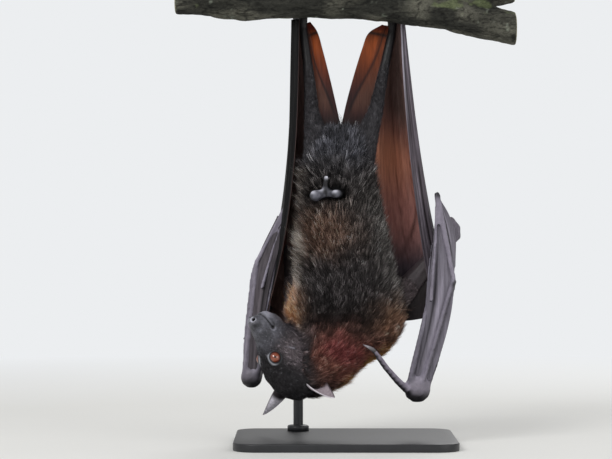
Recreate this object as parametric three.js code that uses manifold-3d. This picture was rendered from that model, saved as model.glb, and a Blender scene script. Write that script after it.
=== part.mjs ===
// A large flying fox, Pteropus vampyrus, at life size, hanging by both feet from a cut length of
// branch on a plain display stand. Millimetres, +Z up; the belly faces -Y, the bat's own right is at
// +X, and the origin is under the middle of the stand's base. The bat hangs head down, its head bent
// forwards and turned to its left, with the wings folded at its sides. Each solid reaches to the tips
// of the coat.
import * as THREE from "three";
import { mergeVertices } from "three/addons/utils/BufferGeometryUtils.js";
import Module from "manifold-3d";

const wasm = await Module();
wasm.setup();

// ---- Driving dimensions ----

const GAP = 0.3; // clearance between neighbouring solids
const WEB = 1.2; // thickness of the wing membranes

const BASE = { wide: 220, deep: 190, thick: 8, corner: 24, bevel: 1.2 };
const ROD = { radius: 5, across: -47, back: 64, bend: 424, collar: 11, collarHeight: 6 };
const PERCH_HALF = 170; // half the length of the cut branch
const BARK = { ripple: 0.035, sides: 12, stations: 10 };

const ANKLE_HEIGHT = 418; // where the wing membranes gather at the feet
const WING_DROP = 268; // from the ankles down to the armpits
const TOES = { count: 5, spacing: 4.3, radius: 2.5, claw: 1.5 };

const V = (x, y, z) => new THREE.Vector3(x, y, z);
const mix = (a, b, t) => a + (b - a) * t;
const radians = THREE.MathUtils.degToRad;
const clamp = THREE.MathUtils.clamp;

// ---- Geometry helpers ----

// One closed BufferGeometry from vertices and triangles, turned to face outwards.
function closedGeometry(points, triangles) {
  let volume = 0;
  for (const [a, b, c] of triangles)
    volume += points[a].dot(V(0, 0, 0).crossVectors(points[b], points[c]));
  const index = triangles.flatMap(([a, b, c]) => (volume < 0 ? [a, c, b] : [a, b, c]));
  return new THREE.BufferGeometry().setFromPoints(points).setIndex(index);
}

// Rings with the same number of points, joined side to side, with a fan over each end.
function loft(rings) {
  const n = rings[0].length;
  const points = rings.flat();
  const triangles = [];
  for (let r = 0; r + 1 < rings.length; r++)
    for (let i = 0; i < n; i++) {
      const a = r * n + i;
      const b = r * n + ((i + 1) % n);
      triangles.push([a, b, a + n], [b, b + n, a + n]);
    }
  for (const [first, flip] of [[0, true], [(rings.length - 1) * n, false]]) {
    const middle = V(0, 0, 0);
    for (let i = 0; i < n; i++) middle.addScaledVector(points[first + i], 1 / n);
    points.push(middle);
    for (let i = 0; i < n; i++) {
      const a = first + i;
      const b = first + ((i + 1) % n);
      triangles.push(flip ? [b, a, points.length - 1] : [a, b, points.length - 1]);
    }
  }
  return closedGeometry(points, triangles);
}

// A superellipse about a centre; up and low are its reach along and against the second axis.
function oval(centre, across, along, wide, up, low = up, power = 2, sides = 24) {
  return Array.from({ length: sides }, (_, i) => {
    const angle = (2 * Math.PI * i) / sides;
    const c = Math.cos(angle);
    const s = Math.sin(angle);
    const x = Math.sign(c) * Math.abs(c) ** (2 / power) * wide;
    const y = Math.sign(s) * Math.abs(s) ** (2 / power) * (s > 0 ? up : low);
    return centre.clone().addScaledVector(across, x).addScaledVector(along, y);
  });
}

// A limb along a smooth curve through points, with a radius at each, rounded at its ends.
function limb(points, radii, sides = 8, steps = 3 * (points.length - 1)) {
  const curve = new THREE.CatmullRomCurve3(points, false, "centripetal");
  const rings = [];
  let across = V(1, 0.2, 0);
  for (let i = 0; i <= steps; i++) {
    const t = (i / steps) * (radii.length - 1);
    const k = Math.min(Math.floor(t), radii.length - 2);
    const radius = mix(radii[k], radii[k + 1], t - k);
    const centre = curve.getPoint(i / steps);
    const along = curve.getTangent(i / steps);
    across = across.clone().projectOnPlane(along).normalize();
    const up = V(0, 0, 0).crossVectors(along, across);
    rings.push(oval(centre, across, up, radius, radius, radius, 2, sides));
    if (i > 0 && i < steps) continue;
    const end = centre.clone().addScaledVector(along, (i ? 0.6 : -0.6) * radius);
    const small = 0.65 * radius;
    const cap = oval(end, across, up, small, small, small, 2, sides);
    if (i) rings.push(cap);
    else rings.unshift(cap);
  }
  return loft(rings);
}

// A membrane: the surface at(u, v), thickened by the same amount on both faces.
function sheet(at, nu, nv, thickness) {
  const points = [];
  const triangles = [];
  const step = 1e-3;
  for (const side of [0.5, -0.5])
    for (let j = 0; j <= nv; j++)
      for (let i = 0; i <= nu; i++) {
        const [u, v] = [i / nu, j / nv];
        const du = at(Math.min(u + step, 1), v).sub(at(Math.max(u - step, 0), v));
        const dv = at(u, Math.min(v + step, 1)).sub(at(u, Math.max(v - step, 0)));
        points.push(at(u, v).addScaledVector(du.cross(dv).normalize(), side * thickness));
      }
  const row = nu + 1;
  const back = row * (nv + 1);
  for (let j = 0; j < nv; j++)
    for (let i = 0; i < nu; i++) {
      const a = j * row + i;
      triangles.push([a, a + 1, a + row + 1], [a, a + row + 1, a + row]);
      const b = back + a;
      triangles.push([b, b + row + 1, b + 1], [b, b + row, b + row + 1]);
    }
  const rim = [];
  for (let i = 0; i < nu; i++) rim.push(i);
  for (let j = 0; j < nv; j++) rim.push(j * row + nu);
  for (let i = nu; i > 0; i--) rim.push(nv * row + i);
  for (let j = nv; j > 0; j--) rim.push(j * row);
  rim.forEach((a, k) => {
    const b = rim[(k + 1) % rim.length];
    triangles.push([a, back + a, b], [b, back + a, back + b]);
  });
  return closedGeometry(points, triangles);
}

// A ball stretched to three radii.
function ball(centre, rx, ry, rz, across = 12, down = 8) {
  const sphere = new THREE.SphereGeometry(1, across, down).scale(rx, ry, rz);
  return sphere.translate(centre.x, centre.y, centre.z);
}

// A smooth curve through a few points, as a function of 0 to 1.
function rail(...points) {
  const curve = new THREE.CatmullRomCurve3(points, false, "centripetal");
  return (t) => curve.getPoint(t);
}

// ---- Solids ----

function solid(geometry) {
  const bare = geometry.clone();
  bare.deleteAttribute("normal");
  bare.deleteAttribute("uv");
  const merged = mergeVertices(bare, 1e-4);
  return new wasm.Manifold(
    new wasm.Mesh({
      numProp: 3,
      vertProperties: merged.attributes.position.array,
      triVerts: new Uint32Array(merged.index.array),
    }),
  );
}

const join = (...geometries) => geometries.map(solid).reduce((a, b) => a.add(b));

function block(low, high) {
  const size = high.clone().sub(low);
  const middle = low.clone().add(high).multiplyScalar(0.5);
  return solid(new THREE.BoxGeometry(size.x, size.y, size.z).translate(middle.x, middle.y, middle.z));
}

// The largest body of a solid: trimming a membrane against a limb can leave slivers on the far side.
const largest = (made) => made.decompose().reduce((a, b) => (a.volume() > b.volume() ? a : b));

const bat = new THREE.Group();

function addMesh(name, made, material) {
  const { numProp, vertProperties, triVerts } = largest(made).getMesh();
  const positions = new Float32Array((vertProperties.length / numProp) * 3);
  for (let i = 0; i < positions.length / 3; i++)
    positions.set(vertProperties.subarray(i * numProp, i * numProp + 3), i * 3);
  const geometry = new THREE.BufferGeometry()
    .setAttribute("position", new THREE.BufferAttribute(positions, 3))
    .setIndex(new THREE.BufferAttribute(triVerts, 1));
  const mesh = new THREE.Mesh(geometry, material);
  mesh.name = name;
  bat.add(mesh);
}

const finish = (color, roughness, metalness = 0) =>
  new THREE.MeshStandardMaterial({ color, roughness, metalness });
const MATERIALS = {
  belly: finish(0x2b2320, 0.85),
  mantle: finish(0x5a2616, 0.85),
  face: finish(0x242427, 0.7),
  membrane: finish(0x4a4446, 0.55),
  horn: finish(0x8d8890, 0.4),
  eye: finish(0xa8440f, 0.1),
  bark: finish(0x4a463c, 0.95),
  stand: finish(0x1d1e20, 0.45, 0.6),
};

// ---- Stand and perch ----

function standBase() {
  const { wide, deep, thick, corner, bevel } = BASE;
  const x = wide / 2 - bevel;
  const y = deep / 2 - bevel;
  const outline = new THREE.Shape()
    .moveTo(-x + corner, -y)
    .lineTo(x - corner, -y)
    .absarc(x - corner, -y + corner, corner, -Math.PI / 2, 0)
    .absarc(x - corner, y - corner, corner, 0, Math.PI / 2)
    .absarc(-x + corner, y - corner, corner, Math.PI / 2, Math.PI)
    .absarc(-x + corner, -y + corner, corner, Math.PI, 1.5 * Math.PI);
  const options = {
    depth: thick - 2 * bevel,
    bevelThickness: bevel,
    bevelSize: bevel,
    bevelSegments: 1,
    curveSegments: 3,
  };
  return solid(new THREE.ExtrudeGeometry(outline, options).translate(0, 0, bevel));
}

// The rod stands behind the bat and leans out past the left foot at the top, to meet the back of the
// branch.
function standRod() {
  const { radius, across, back, bend, collar, collarHeight } = ROD;
  const route = [
    V(across, back, BASE.thick + 0.6 * radius),
    V(across, back, 0.5 * bend),
    V(across, back, bend),
    V(across - 2, back - 3, bend + 13),
    V(across - 14, back - 20, bend + 22),
    V(across - 30, back - 40, bend + 24),
    perchAt(across - 38),
  ];
  const foot = new THREE.CylinderGeometry(radius + 2, collar, collarHeight, 12);
  foot.rotateX(Math.PI / 2).translate(across, back, BASE.thick + collarHeight / 2);
  return join(limb(route, route.map(() => radius), 8, 9), foot);
}

// The branch: where its middle is, and how thick it is, at any distance along it.
const bell = (x, middle, spread) => Math.exp(-(((x - middle) / spread) ** 2));
const rise = (x) => Math.max(0, (x - 90) / 80);
const sag = (x) => 5 * bell(x, -100, 42) - 2 * bell(x, 8, 22) + 6 * bell(x, 62, 40);
const perchAt = (x) => V(x, 0, 446.5 - sag(x) + 8 * rise(x) ** 1.3);
const perchRadius = (x) => 17 + 5.5 * bell(x, 15, 90) - 3 * rise(x);

function barkRing(centre, radius, x) {
  const { ripple, sides } = BARK;
  return Array.from({ length: sides }, (_, i) => {
    const angle = (2 * Math.PI * i) / sides;
    const broad = Math.sin(3 * angle + x / 17);
    const narrow = 0.6 * Math.sin(5 * angle - x / 11);
    const r = radius * (1 + ripple * (broad + narrow));
    return centre.clone().add(V(0, r * Math.cos(angle), r * Math.sin(angle)));
  });
}

// The main limb, and the side limb that leaves it on the right and slopes down.
function perch(grow = 0) {
  const rings = Array.from({ length: BARK.stations }, (_, i) => {
    const x = (PERCH_HALF + 5) * mix(-1, 1, i / (BARK.stations - 1));
    return barkRing(perchAt(x), perchRadius(x) + grow, x);
  });
  const side = limb(
    [V(48, -1, 435.5), V(100, -4, 432), V(140, -9, 421), V(186, -15, 410)],
    [16 + grow, 19 + grow, 18 + grow, 15.5 + grow],
    9,
    3,
  );
  return join(loft(rings), side).intersect(block(V(-PERCH_HALF, -80, 300), V(PERCH_HALF, 80, 600)));
}

// ---- Trunk and neck ----

// Rings down the body from rump to shoulders: height, middle, half width and half depth.
const TRUNK = [
  { z: 318, x: -4, y: 8, wide: 8, deep: 9 },
  { z: 311, x: -4, y: 8, wide: 20, deep: 17 },
  { z: 298, x: -5, y: 6, wide: 31, deep: 25 },
  { z: 275, x: -7, y: 4, wide: 36.5, deep: 31 },
  { z: 240, x: -3.5, y: 2, wide: 38.5, deep: 35 },
  { z: 200, x: -0.5, y: 0, wide: 45, deep: 40 },
  { z: 164, x: 2, y: 0, wide: 48.5, deep: 42 },
  { z: 146, x: 1, y: 1, wide: 55.5, deep: 43 },
  { z: 127, x: 1, y: 1, wide: 61.5, deep: 42 },
  { z: 112, x: 2, y: 1, wide: 55.5, deep: 39 },
  { z: 98, x: 0.5, y: 0, wide: 48, deep: 34 },
  { z: 88, x: -2, y: -1, wide: 40, deep: 25 },
  { z: 81, x: -5, y: -1, wide: 29, deep: 17 },
];

function trunk(grow = 0) {
  const rings = TRUNK.map(({ z, x, y, wide, deep }) =>
    oval(V(x, y, z), V(1, 0, 0), V(0, 1, 0), wide + grow, deep + grow, deep + grow, 2.2, 16),
  );
  return solid(loft(rings));
}

function neck(grow = 0) {
  const path = [V(-2, -3, 114), V(-15, -6, 94), V(-35, -11, 74.5), headPoint(70, -1, 0)];
  return solid(limb(path, [38, 37.5, 32, 23.5].map((r) => r + grow), 12, 4));
}

function scrotum(grow = 0) {
  return join(
    ball(V(-28.5, -32, 248), 8 + grow, 9.5 + grow, 7.2 + grow, 8, 5),
    ball(V(-8.5, -33, 249.5), 8.8 + grow, 9.5 + grow, 7 + grow, 8, 5),
    limb([V(-26, -31, 248), V(-12, -31, 249)], [5 + grow, 5 + grow], 6, 1),
    limb([V(-20.5, -33, 252), V(-19, -34, 266)], [4.6 + grow, 3.4 + grow], 6, 1),
  );
}

// ---- Head ----

const NOSE = V(-93, -34, 127);
const FORWARDS = V(-0.543, -0.23, 0.807).normalize();
const RIGHTWARDS = V(0.515, -0.851, 0.104).projectOnPlane(FORWARDS).normalize();
const CROWNWARDS = V(0, 0, 0).crossVectors(RIGHTWARDS, FORWARDS);

// A direction or a place in the head's own frame, measured back from the nose, up to the crown and
// to its right.
const headDirection = (back, up, right) =>
  V(0, 0, 0)
    .addScaledVector(FORWARDS, -back)
    .addScaledVector(CROWNWARDS, up)
    .addScaledVector(RIGHTWARDS, right);
const headPoint = (back, up, right) => NOSE.clone().add(headDirection(back, up, right));

// Rings from the nose to the nape: half width, and the reach up to the bridge or crown and down to the
// jaw.
const HEAD = [
  { back: 0, wide: 5, top: 3, low: 5 },
  { back: 1.6, wide: 6.8, top: 4.4, low: 11 },
  { back: 5, wide: 8.8, top: 5.6, low: 18.5 },
  { back: 12, wide: 10.8, top: 7.2, low: 24.8 },
  { back: 23, wide: 13, top: 10, low: 28.4 },
  { back: 34, wide: 16.4, top: 15.6, low: 31.4 },
  { back: 45, wide: 20.8, top: 20.4, low: 33 },
  { back: 60, wide: 24.8, top: 22.6, low: 31.5 },
  { back: 76, wide: 26.6, top: 21, low: 27.5 },
  { back: 88, wide: 25.5, top: 15.5, low: 23.5 },
  { back: 96, wide: 19.5, top: 9.5, low: 17 },
  { back: 99.5, wide: 11, top: 3.5, low: 9 },
];
const MOUTH = { front: -10.6, corner: -9.6, back: 62 };
const EYE = { back: 40.5, up: 11.3, right: 18.2, radius: 7.2 };

function headWhole(grow = 0) {
  const rings = HEAD.map(({ back, wide, top, low }) =>
    oval(headPoint(back, 0, 0), RIGHTWARDS, CROWNWARDS, wide + grow, top + grow, low + grow, 2.15, 16),
  );
  rings.unshift(oval(headPoint(-1 - grow, -1, 0), RIGHTWARDS, CROWNWARDS, 2.6, 1.8, 2, 2, 16));
  return solid(loft(rings));
}

// The space under the mouth line, as far back as the angle of the jaw.
function jawSpace(shift) {
  const corners = [
    [-8, MOUTH.front + shift],
    [MOUTH.back + shift, MOUTH.corner + shift],
    [MOUTH.back + shift, -40],
    [-8, -40],
  ];
  const rings = [-40, 40].map((right) => corners.map(([back, up]) => headPoint(back, up, right)));
  return solid(loft(rings));
}

const eyeCentre = (side) => {
  const outwards = headDirection(-0.33, 0.3, 0.9 * side).normalize();
  return headPoint(EYE.back, EYE.up, EYE.right * side).addScaledVector(outwards, -EYE.radius);
};
const eye = (side, grow = 0) => {
  const r = EYE.radius + grow;
  return solid(ball(eyeCentre(side), r, r, r, 8, 6));
};

// Each ear has its own place and lean, because a bat turns its ears one by one.
const EARS = {
  right: {
    base: V(-31, -31, 65),
    tip: V(-11.5, -52, 50.5),
    across: V(0.9, 0.3, 0.25),
    cup: -1,
    half: 8.8,
  },
  left: {
    base: headPoint(83, 9, -20),
    tip: V(-82.5, 24, 28),
    across: V(0.66, 0.75, 0),
    cup: 1,
    half: 8.2,
  },
};

// A pointed leaf of skin rolled about its long axis.
function ear({ base, tip, across, cup, half: root }) {
  const axis = tip.clone().sub(base).normalize();
  const length = tip.distanceTo(base);
  const wide = across.clone().projectOnPlane(axis).normalize();
  const deep = V(0, 0, 0).crossVectors(wide, axis).multiplyScalar(cup);
  const at = (u, v) => {
    const half = root * (1 - v ** 1.9) ** 0.8 + 0.7;
    const roll = (u - 0.5) * radians(mix(210, 120, v));
    return base
      .clone()
      .addScaledVector(axis, length * v)
      .addScaledVector(wide, half * Math.sin(roll))
      .addScaledVector(deep, -half * Math.cos(roll) * 0.8);
  };
  return solid(sheet(at, 6, 5, 1.6));
}

// ---- Legs ----

const LEGS = {
  right: { hip: V(13, 3, 282), knee: V(31, 12, 333), calf: V(37.5, 14, 366), ankle: V(48, 21, 414) },
  left: { hip: V(-25, 3, 282), knee: V(-33.5, 12, 333), calf: V(-35.5, 14, 366), ankle: V(-42, 21, 417) },
};

const thigh = ({ hip, knee }, grow = 0) => {
  const middle = hip.clone().lerp(knee, 0.55).add(V(0, -1, 0));
  return solid(limb([hip, middle, knee], [19, 13.5, 9.5].map((r) => r + grow), 8, 3));
};
const shin = ({ knee, calf, ankle }, grow = 0) =>
  solid(limb([knee, calf, ankle], [8.5, 6.4, 4.8].map((r) => r + grow), 7, 3));

// A point on an arc round the branch: 0 degrees is behind it and 90 is on top.
function roundPerch(x, degrees, height) {
  const r = perchRadius(x) + height;
  return perchAt(x).add(V(0, r * Math.cos(radians(degrees)), r * Math.sin(radians(degrees))));
}

// The sole lies behind the branch and the toes hook over its top, each with its claw.
function foot({ ankle }, grow = 0) {
  const x = ankle.x;
  const sole = limb(
    [ankle, roundPerch(x, -38, 6), roundPerch(x, 0, 5.5), roundPerch(x, 32, 5)],
    [5, 6, 6.8, 7].map((r) => r + grow),
    7,
    3,
  );
  const pieces = [sole];
  for (let i = 0; i < TOES.count; i++) {
    const offset = (i - (TOES.count - 1) / 2) * TOES.spacing;
    const toe = [
      roundPerch(x + 0.8 * offset, 18, 4.5),
      roundPerch(x + 1.15 * offset, 52, 4.8),
      roundPerch(x + 1.15 * offset, 84, 4.2),
      roundPerch(x + 1.15 * offset, 102, 4.6),
      roundPerch(x + 1.15 * offset, 118, 1.6),
    ];
    pieces.push(limb(toe, [2.6, TOES.radius, 2.3, TOES.claw, 0.5].map((r) => r + grow), 4, 4));
  }
  return join(...pieces);
}

// The membrane inside each leg, from the crotch to a point near the ankle.
const TAIL_WEBS = {
  right: {
    free: rail(V(38, 21, 421), V(24, 17, 412), V(17.5, 16, 396), V(2.5, 10, 345), V(-5, 7, 310)),
    leg: rail(V(45, 21, 420), V(44, 20, 402), V(39, 17, 376), V(30, 12, 335), V(20, 7, 307)),
  },
  left: {
    free: rail(V(-35, 21, 424), V(-28, 17, 414), V(-22, 16, 394), V(-10, 10, 345), V(-3, 7, 310)),
    leg: rail(V(-41, 21, 422), V(-39, 20, 404), V(-37, 17, 376), V(-33, 12, 335), V(-27, 7, 307)),
  },
};

function tailWeb({ free, leg }) {
  const at = (u, v) => free(v).lerp(leg(v), u).add(V(0, 3 * Math.sin(Math.PI * u), 0));
  return solid(sheet(at, 2, 6, WEB));
}

// ---- Arms ----

const ARMS = {
  right: {
    shoulder: V(38, 8, 128),
    elbow: V(108.5, 22, 211),
    knob: [V(107, 23, 225), V(114.5, 21, 211), V(110, 21, 203)],
    wrist: V(80, -9, 60),
  },
  left: {
    shoulder: V(-44, 8, 128),
    elbow: V(-58, 58, 222),
    knob: [V(-54, 60, 231), V(-60, 62, 223), V(-61, 58, 213)],
    wrist: V(-95, 26, 70),
  },
};

// The upper arm, and the bent elbow's own knob of bone and skin.
const upperArm = ({ shoulder, elbow, knob }, grow = 0) => {
  const middle = shoulder.clone().lerp(elbow, 0.5).add(V(0, 2, -2));
  return join(
    limb([shoulder, middle, elbow], [19, 11, 5.4].map((r) => r + grow), 8, 4),
    limb(knob, [3.6, 5.2, 3.4].map((r) => r + grow), 7, 3),
  );
};
const forearm = ({ elbow, wrist }, grow = 0) => {
  const near = elbow.clone().lerp(wrist, 0.04);
  const thick = elbow.clone().lerp(wrist, 0.3).add(V(elbow.x > 0 ? -3.5 : 0, 1.5, 0));
  return solid(limb([near, thick, wrist], [4.8, 6.4, 5.4].map((r) => r + grow), 7, 3));
};

// The bulge of the wrist, with the thumb and its claw.
const HANDS = {
  right: {
    wrist: { at: V(72, -13, 56), wide: 14.5, deep: 10, high: 14.5 },
    thumb: [V(62, -19, 55), V(46, -26, 70.5), V(28, -33, 95)],
    claw: [V(28, -33, 95), V(22.5, -34.5, 98), V(18, -32.5, 101)],
  },
  left: {
    wrist: { at: V(-94, 22, 65.5), wide: 12, deep: 10, high: 12 },
    thumb: [V(-88, 22, 68), V(-74, 31, 84), V(-60, 37, 104)],
    claw: [V(-60, 37, 104), V(-55, 38, 107), V(-50, 36, 109)],
  },
};

const wristBulge = ({ wrist: { at, wide, deep, high } }, grow = 0) =>
  solid(ball(at, wide + grow, deep + grow, high + grow, 10, 6));
const thumb = (hand, grow = 0) => solid(limb(hand.thumb, [4.6, 3.5, 3.3].map((r) => r + grow), 6, 3));
const thumbClaw = (hand) => solid(limb(hand.claw, [2.1, 1.6, 0.5], 5, 2));

// Finger bones from the wrist: metacarpal, then the phalanges, with the radius at each joint. The last
// bone of the third finger is folded back beside the others, as tip.
const FINGERS = {
  right: {
    2: {
      joints: [V(85, -12, 62), V(99, -15.5, 110), V(106.5, -18.5, 152), V(109.5, -20, 163)],
      radii: [2.4, 1.8, 1.9, 1.2],
    },
    3: {
      joints: [V(77, -19, 62), V(107, -23, 165), V(91, -17, 249.5)],
      radii: [3, 3.1, 3.6],
      tip: [V(91, -17, 247), V(89, -24, 200), V(84.5, -26, 144)],
    },
    4: {
      joints: [V(74, -16, 64), V(96, -14, 150), V(102, -9, 190), V(102, -3, 226)],
      radii: [2.6, 2.2, 2.3, 2.2],
    },
    5: {
      joints: [V(64, -17, 62), V(75, -20, 110), V(81.5, -17, 140), V(84, -11, 178)],
      radii: [4, 3.2, 2.6, 2],
    },
  },
  left: {
    2: {
      joints: [V(-102, 24, 72), V(-99, 21, 120), V(-93, 18, 170)],
      radii: [2.6, 1.9, 2.2],
    },
    3: {
      joints: [V(-100, 18, 70), V(-88, 12, 182), V(-56, 24, 246)],
      radii: [3, 3.1, 2.2],
      tip: [V(-56, 24, 244), V(-72, 14, 196), V(-83, 6, 156)],
    },
    4: {
      joints: [V(-95, 18, 70), V(-86, 15, 140), V(-78, 17, 180), V(-66, 22, 212)],
      radii: [2.6, 2.2, 2.3, 2],
    },
    5: {
      joints: [V(-87, 16, 70), V(-80, 10, 110), V(-76, 9, 145), V(-69, 14, 186)],
      radii: [3.6, 3, 2.5, 2],
    },
  },
};

function finger({ joints, radii, tip }, grow = 0) {
  const bones = limb(joints, radii.map((r) => r + grow), 5, joints.length - 1);
  return tip ? join(bones, limb(tip, [2 + grow, 1.8 + grow, 2.4 + grow], 5, 2)) : solid(bones);
}

// ---- Wing membranes ----

// Four rails carry the cape from the flank round behind the arm to its free front edge, as polynomials
// of the share h of the way down from the ankle. bottom holds how far down each rail runs; at the top
// they all start CAPE_TOP above the ankle, against the branch.
const CAPE_TOP = -0.035;
const CAPES = {
  right: {
    bottom: [1.03, 0.9, 0.84, 0.99],
    x: [
      (h) => 47 - 60 * h + 58 * h * h,
      (h) => 52 + 8 * h + 40 * h ** 3,
      (h) => 61 + 28 * h + 16 * h ** 3,
      (h) => 56 + 8 * h + 21 * h * h,
    ],
    y: [
      (h) => 20 + 3 * h,
      (h) => 22 + 24 * Math.sin(Math.PI * clamp(h / 0.95, 0, 1)),
      (h) => 13 - 14 * h + 8 * h * h,
      (h) => 7 - 34 * h + 16 * h * h,
    ],
  },
  left: {
    bottom: [1.06, 1.14, 1.08, 0.94],
    x: [
      (h) => -41 + 28 * h - 36 * h * h,
      (h) => -48 - 8 * h - 28 * h ** 3,
      (h) => -53 - 3 * h - 18 * h ** 3,
      (h) => -46 - 4 * h - 24 * h ** 3,
    ],
    y: [
      (h) => 20 + 3 * h,
      (h) => 22 + 27 * Math.sin(0.5 * Math.PI * clamp(h / 0.7, 0, 1)),
      (h) => 12 - 10 * h + 6 * h * h,
      (h) => 6 - 30 * h + 16 * h * h,
    ],
  },
};

function cape({ x, y, bottom }) {
  const across = (values) => rail(...values.map((value, i) => V(i, value, 0)));
  const bottomAt = across(bottom);
  const at = (u, v) => {
    const h = mix(CAPE_TOP, bottomAt(u).y, v);
    const points = x.map((fx, i) => V(fx(h), y[i](h), ANKLE_HEIGHT - 2 - h * WING_DROP));
    return rail(...points)(u);
  };
  return solid(sheet(at, 6, 6, WEB));
}

// The membrane in the bend of the arm, between the upper arm and the forearm.
function armWeb({ shoulder, elbow, wrist }, grow = 0) {
  const at = (u, v) => {
    const inner = shoulder.clone().lerp(elbow, mix(0.05, 0.95, v));
    const outer = wrist.clone().lerp(elbow, mix(0.45, 0.95, v));
    const droop = Math.sin(Math.PI * Math.sqrt(u)) * (1 - v);
    return inner.lerp(outer, u).add(V(0, -3 * droop, -8 * droop));
  };
  return solid(sheet(at, 3, 3, WEB + 2 * grow));
}

// The folded hand: one membrane across the front of the fingers, and one at their tips reaching back
// to the elbow.
const HAND_WEBS = {
  right: {
    palm: [
      rail(V(66, -17, 64), V(80.5, -19.5, 134), V(86, -20, 180), V(91, -17.5, 244)),
      rail(V(83, -16, 64), V(98, -19, 110), V(105, -21, 150), V(103, -20.5, 185), V(93, -16.5, 244)),
    ],
    tips: [
      rail(V(93, -15.5, 244), V(99, -14.5, 215), V(105, -18, 176), V(106, -20, 166)),
      rail(V(94.5, -13, 244), V(103.5, -3, 228), V(110, 6, 207), V(110, 2, 178)),
    ],
  },
  left: {
    palm: [
      rail(V(-87, 15, 71), V(-79.5, 8, 138), V(-74, 9, 168), V(-59, 19, 222)),
      rail(V(-100, 17, 71), V(-93, 13, 140), V(-87, 12, 182), V(-67, 20, 228)),
    ],
    tips: [
      rail(V(-62, 24, 232), V(-74, 20, 208), V(-86, 16, 182), V(-92, 20, 160)),
      rail(V(-60, 48, 225), V(-68, 50, 202), V(-78, 46, 180), V(-86, 40, 158)),
    ],
  },
};

function web([near, far], grow = 0) {
  const rim = 0.02 - 0.07 * grow;
  const at = (u, v) => near(v).lerp(far(v), mix(rim, 1 - rim, u));
  return solid(sheet(at, 2, 5, WEB + 2 * grow));
}

// ---- Assembly: each solid is trimmed by its neighbours, with the gap between them ----

const trim = (made, ...cutters) => cutters.reduce((left, cutter) => left.subtract(cutter), made);

addMesh("stand_base", standBase(), MATERIALS.stand);
addMesh("stand_rod", trim(standRod(), perch(GAP)), MATERIALS.stand);
addMesh("perch", perch(), MATERIALS.bark);

const eyeSockets = [eye(1, GAP), eye(-1, GAP)];
const skull = trim(headWhole(), ...eyeSockets);
addMesh("head", skull.subtract(jawSpace(0)), MATERIALS.face);
addMesh("jaw", skull.intersect(jawSpace(-GAP)), MATERIALS.face);
addMesh("eye_right", eye(1), MATERIALS.eye);
addMesh("eye_left", eye(-1), MATERIALS.eye);
addMesh("ear_right", trim(ear(EARS.right), headWhole(GAP), neck(GAP)), MATERIALS.face);
addMesh("ear_left", trim(ear(EARS.left), headWhole(GAP), neck(GAP)), MATERIALS.face);
addMesh("neck", trim(neck(), headWhole(GAP), trunk(GAP)), MATERIALS.mantle);
addMesh("trunk", trim(trunk(), headWhole(GAP)), MATERIALS.belly);
addMesh("scrotum", trim(scrotum(), trunk(GAP)), MATERIALS.membrane);

for (const side of ["right", "left"]) {
  const leg = LEGS[side];
  const arm = ARMS[side];
  const hand = HANDS[side];
  const fingers = FINGERS[side];
  const body = [trunk(GAP), neck(GAP), headWhole(GAP), eye(1, GAP), eye(-1, GAP)];

  addMesh(`thigh_${side}`, trim(thigh(leg), trunk(GAP)), MATERIALS.belly);
  addMesh(`shin_${side}`, trim(shin(leg), trunk(GAP), thigh(leg, GAP)), MATERIALS.membrane);
  addMesh(`foot_${side}`, trim(foot(leg), shin(leg, GAP), perch(GAP)), MATERIALS.membrane);
  const legCutters = [...body, thigh(leg, GAP), shin(leg, GAP), foot(leg, GAP), perch(GAP)];
  addMesh(`tail_web_${side}`, trim(tailWeb(TAIL_WEBS[side]), ...legCutters), MATERIALS.membrane);

  addMesh(`upper_arm_${side}`, trim(upperArm(arm), ...body), MATERIALS.belly);
  addMesh(`forearm_${side}`, trim(forearm(arm), ...body, upperArm(arm, GAP)), MATERIALS.membrane);
  const armCutters = [upperArm(arm, GAP), forearm(arm, GAP)];
  addMesh(`wrist_${side}`, trim(wristBulge(hand), ...body, ...armCutters), MATERIALS.membrane);
  const wristCutters = [...armCutters, wristBulge(hand, GAP)];
  addMesh(`thumb_${side}`, trim(thumb(hand), ...body, ...wristCutters), MATERIALS.membrane);
  addMesh(`thumb_claw_${side}`, trim(thumbClaw(hand), ...body, thumb(hand, GAP)), MATERIALS.horn);

  const handCutters = [...wristCutters, thumb(hand, GAP)];
  for (const name of [3, 5, 4, 2]) {
    const bones = trim(finger(fingers[name]), ...body, ...handCutters);
    addMesh(`finger_${name}_${side}`, bones, MATERIALS.membrane);
    handCutters.push(finger(fingers[name], GAP));
  }
  const { palm, tips } = HAND_WEBS[side];
  const limbCutters = [...legCutters, ...handCutters];
  addMesh(`palm_web_${side}`, trim(web(palm), ...limbCutters), MATERIALS.membrane);
  addMesh(`tip_web_${side}`, trim(web(tips), ...limbCutters, web(palm, GAP)), MATERIALS.membrane);
  const capeCutters = [...limbCutters, web(palm, GAP), web(tips, GAP)];
  addMesh(`arm_web_${side}`, trim(armWeb(arm), ...capeCutters), MATERIALS.membrane);
  capeCutters.push(armWeb(arm, GAP));
  addMesh(`cape_${side}`, trim(cape(CAPES[side]), ...capeCutters), MATERIALS.membrane);
}

export default bat;
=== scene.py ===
"""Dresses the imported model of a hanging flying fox: one skin with its wing membranes and ears, a coat
of solid tufts, eyes, claws, a branch with bark, and the display stand.

Lengths are millimetres in the model's own frame, and become metres when a mesh is made. The bat's belly
faces -Y, its own right is at +X, and it hangs head down.
"""

import itertools
import math

import bpy
import numpy as np
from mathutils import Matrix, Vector
from mathutils.bvhtree import BVHTree


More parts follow.
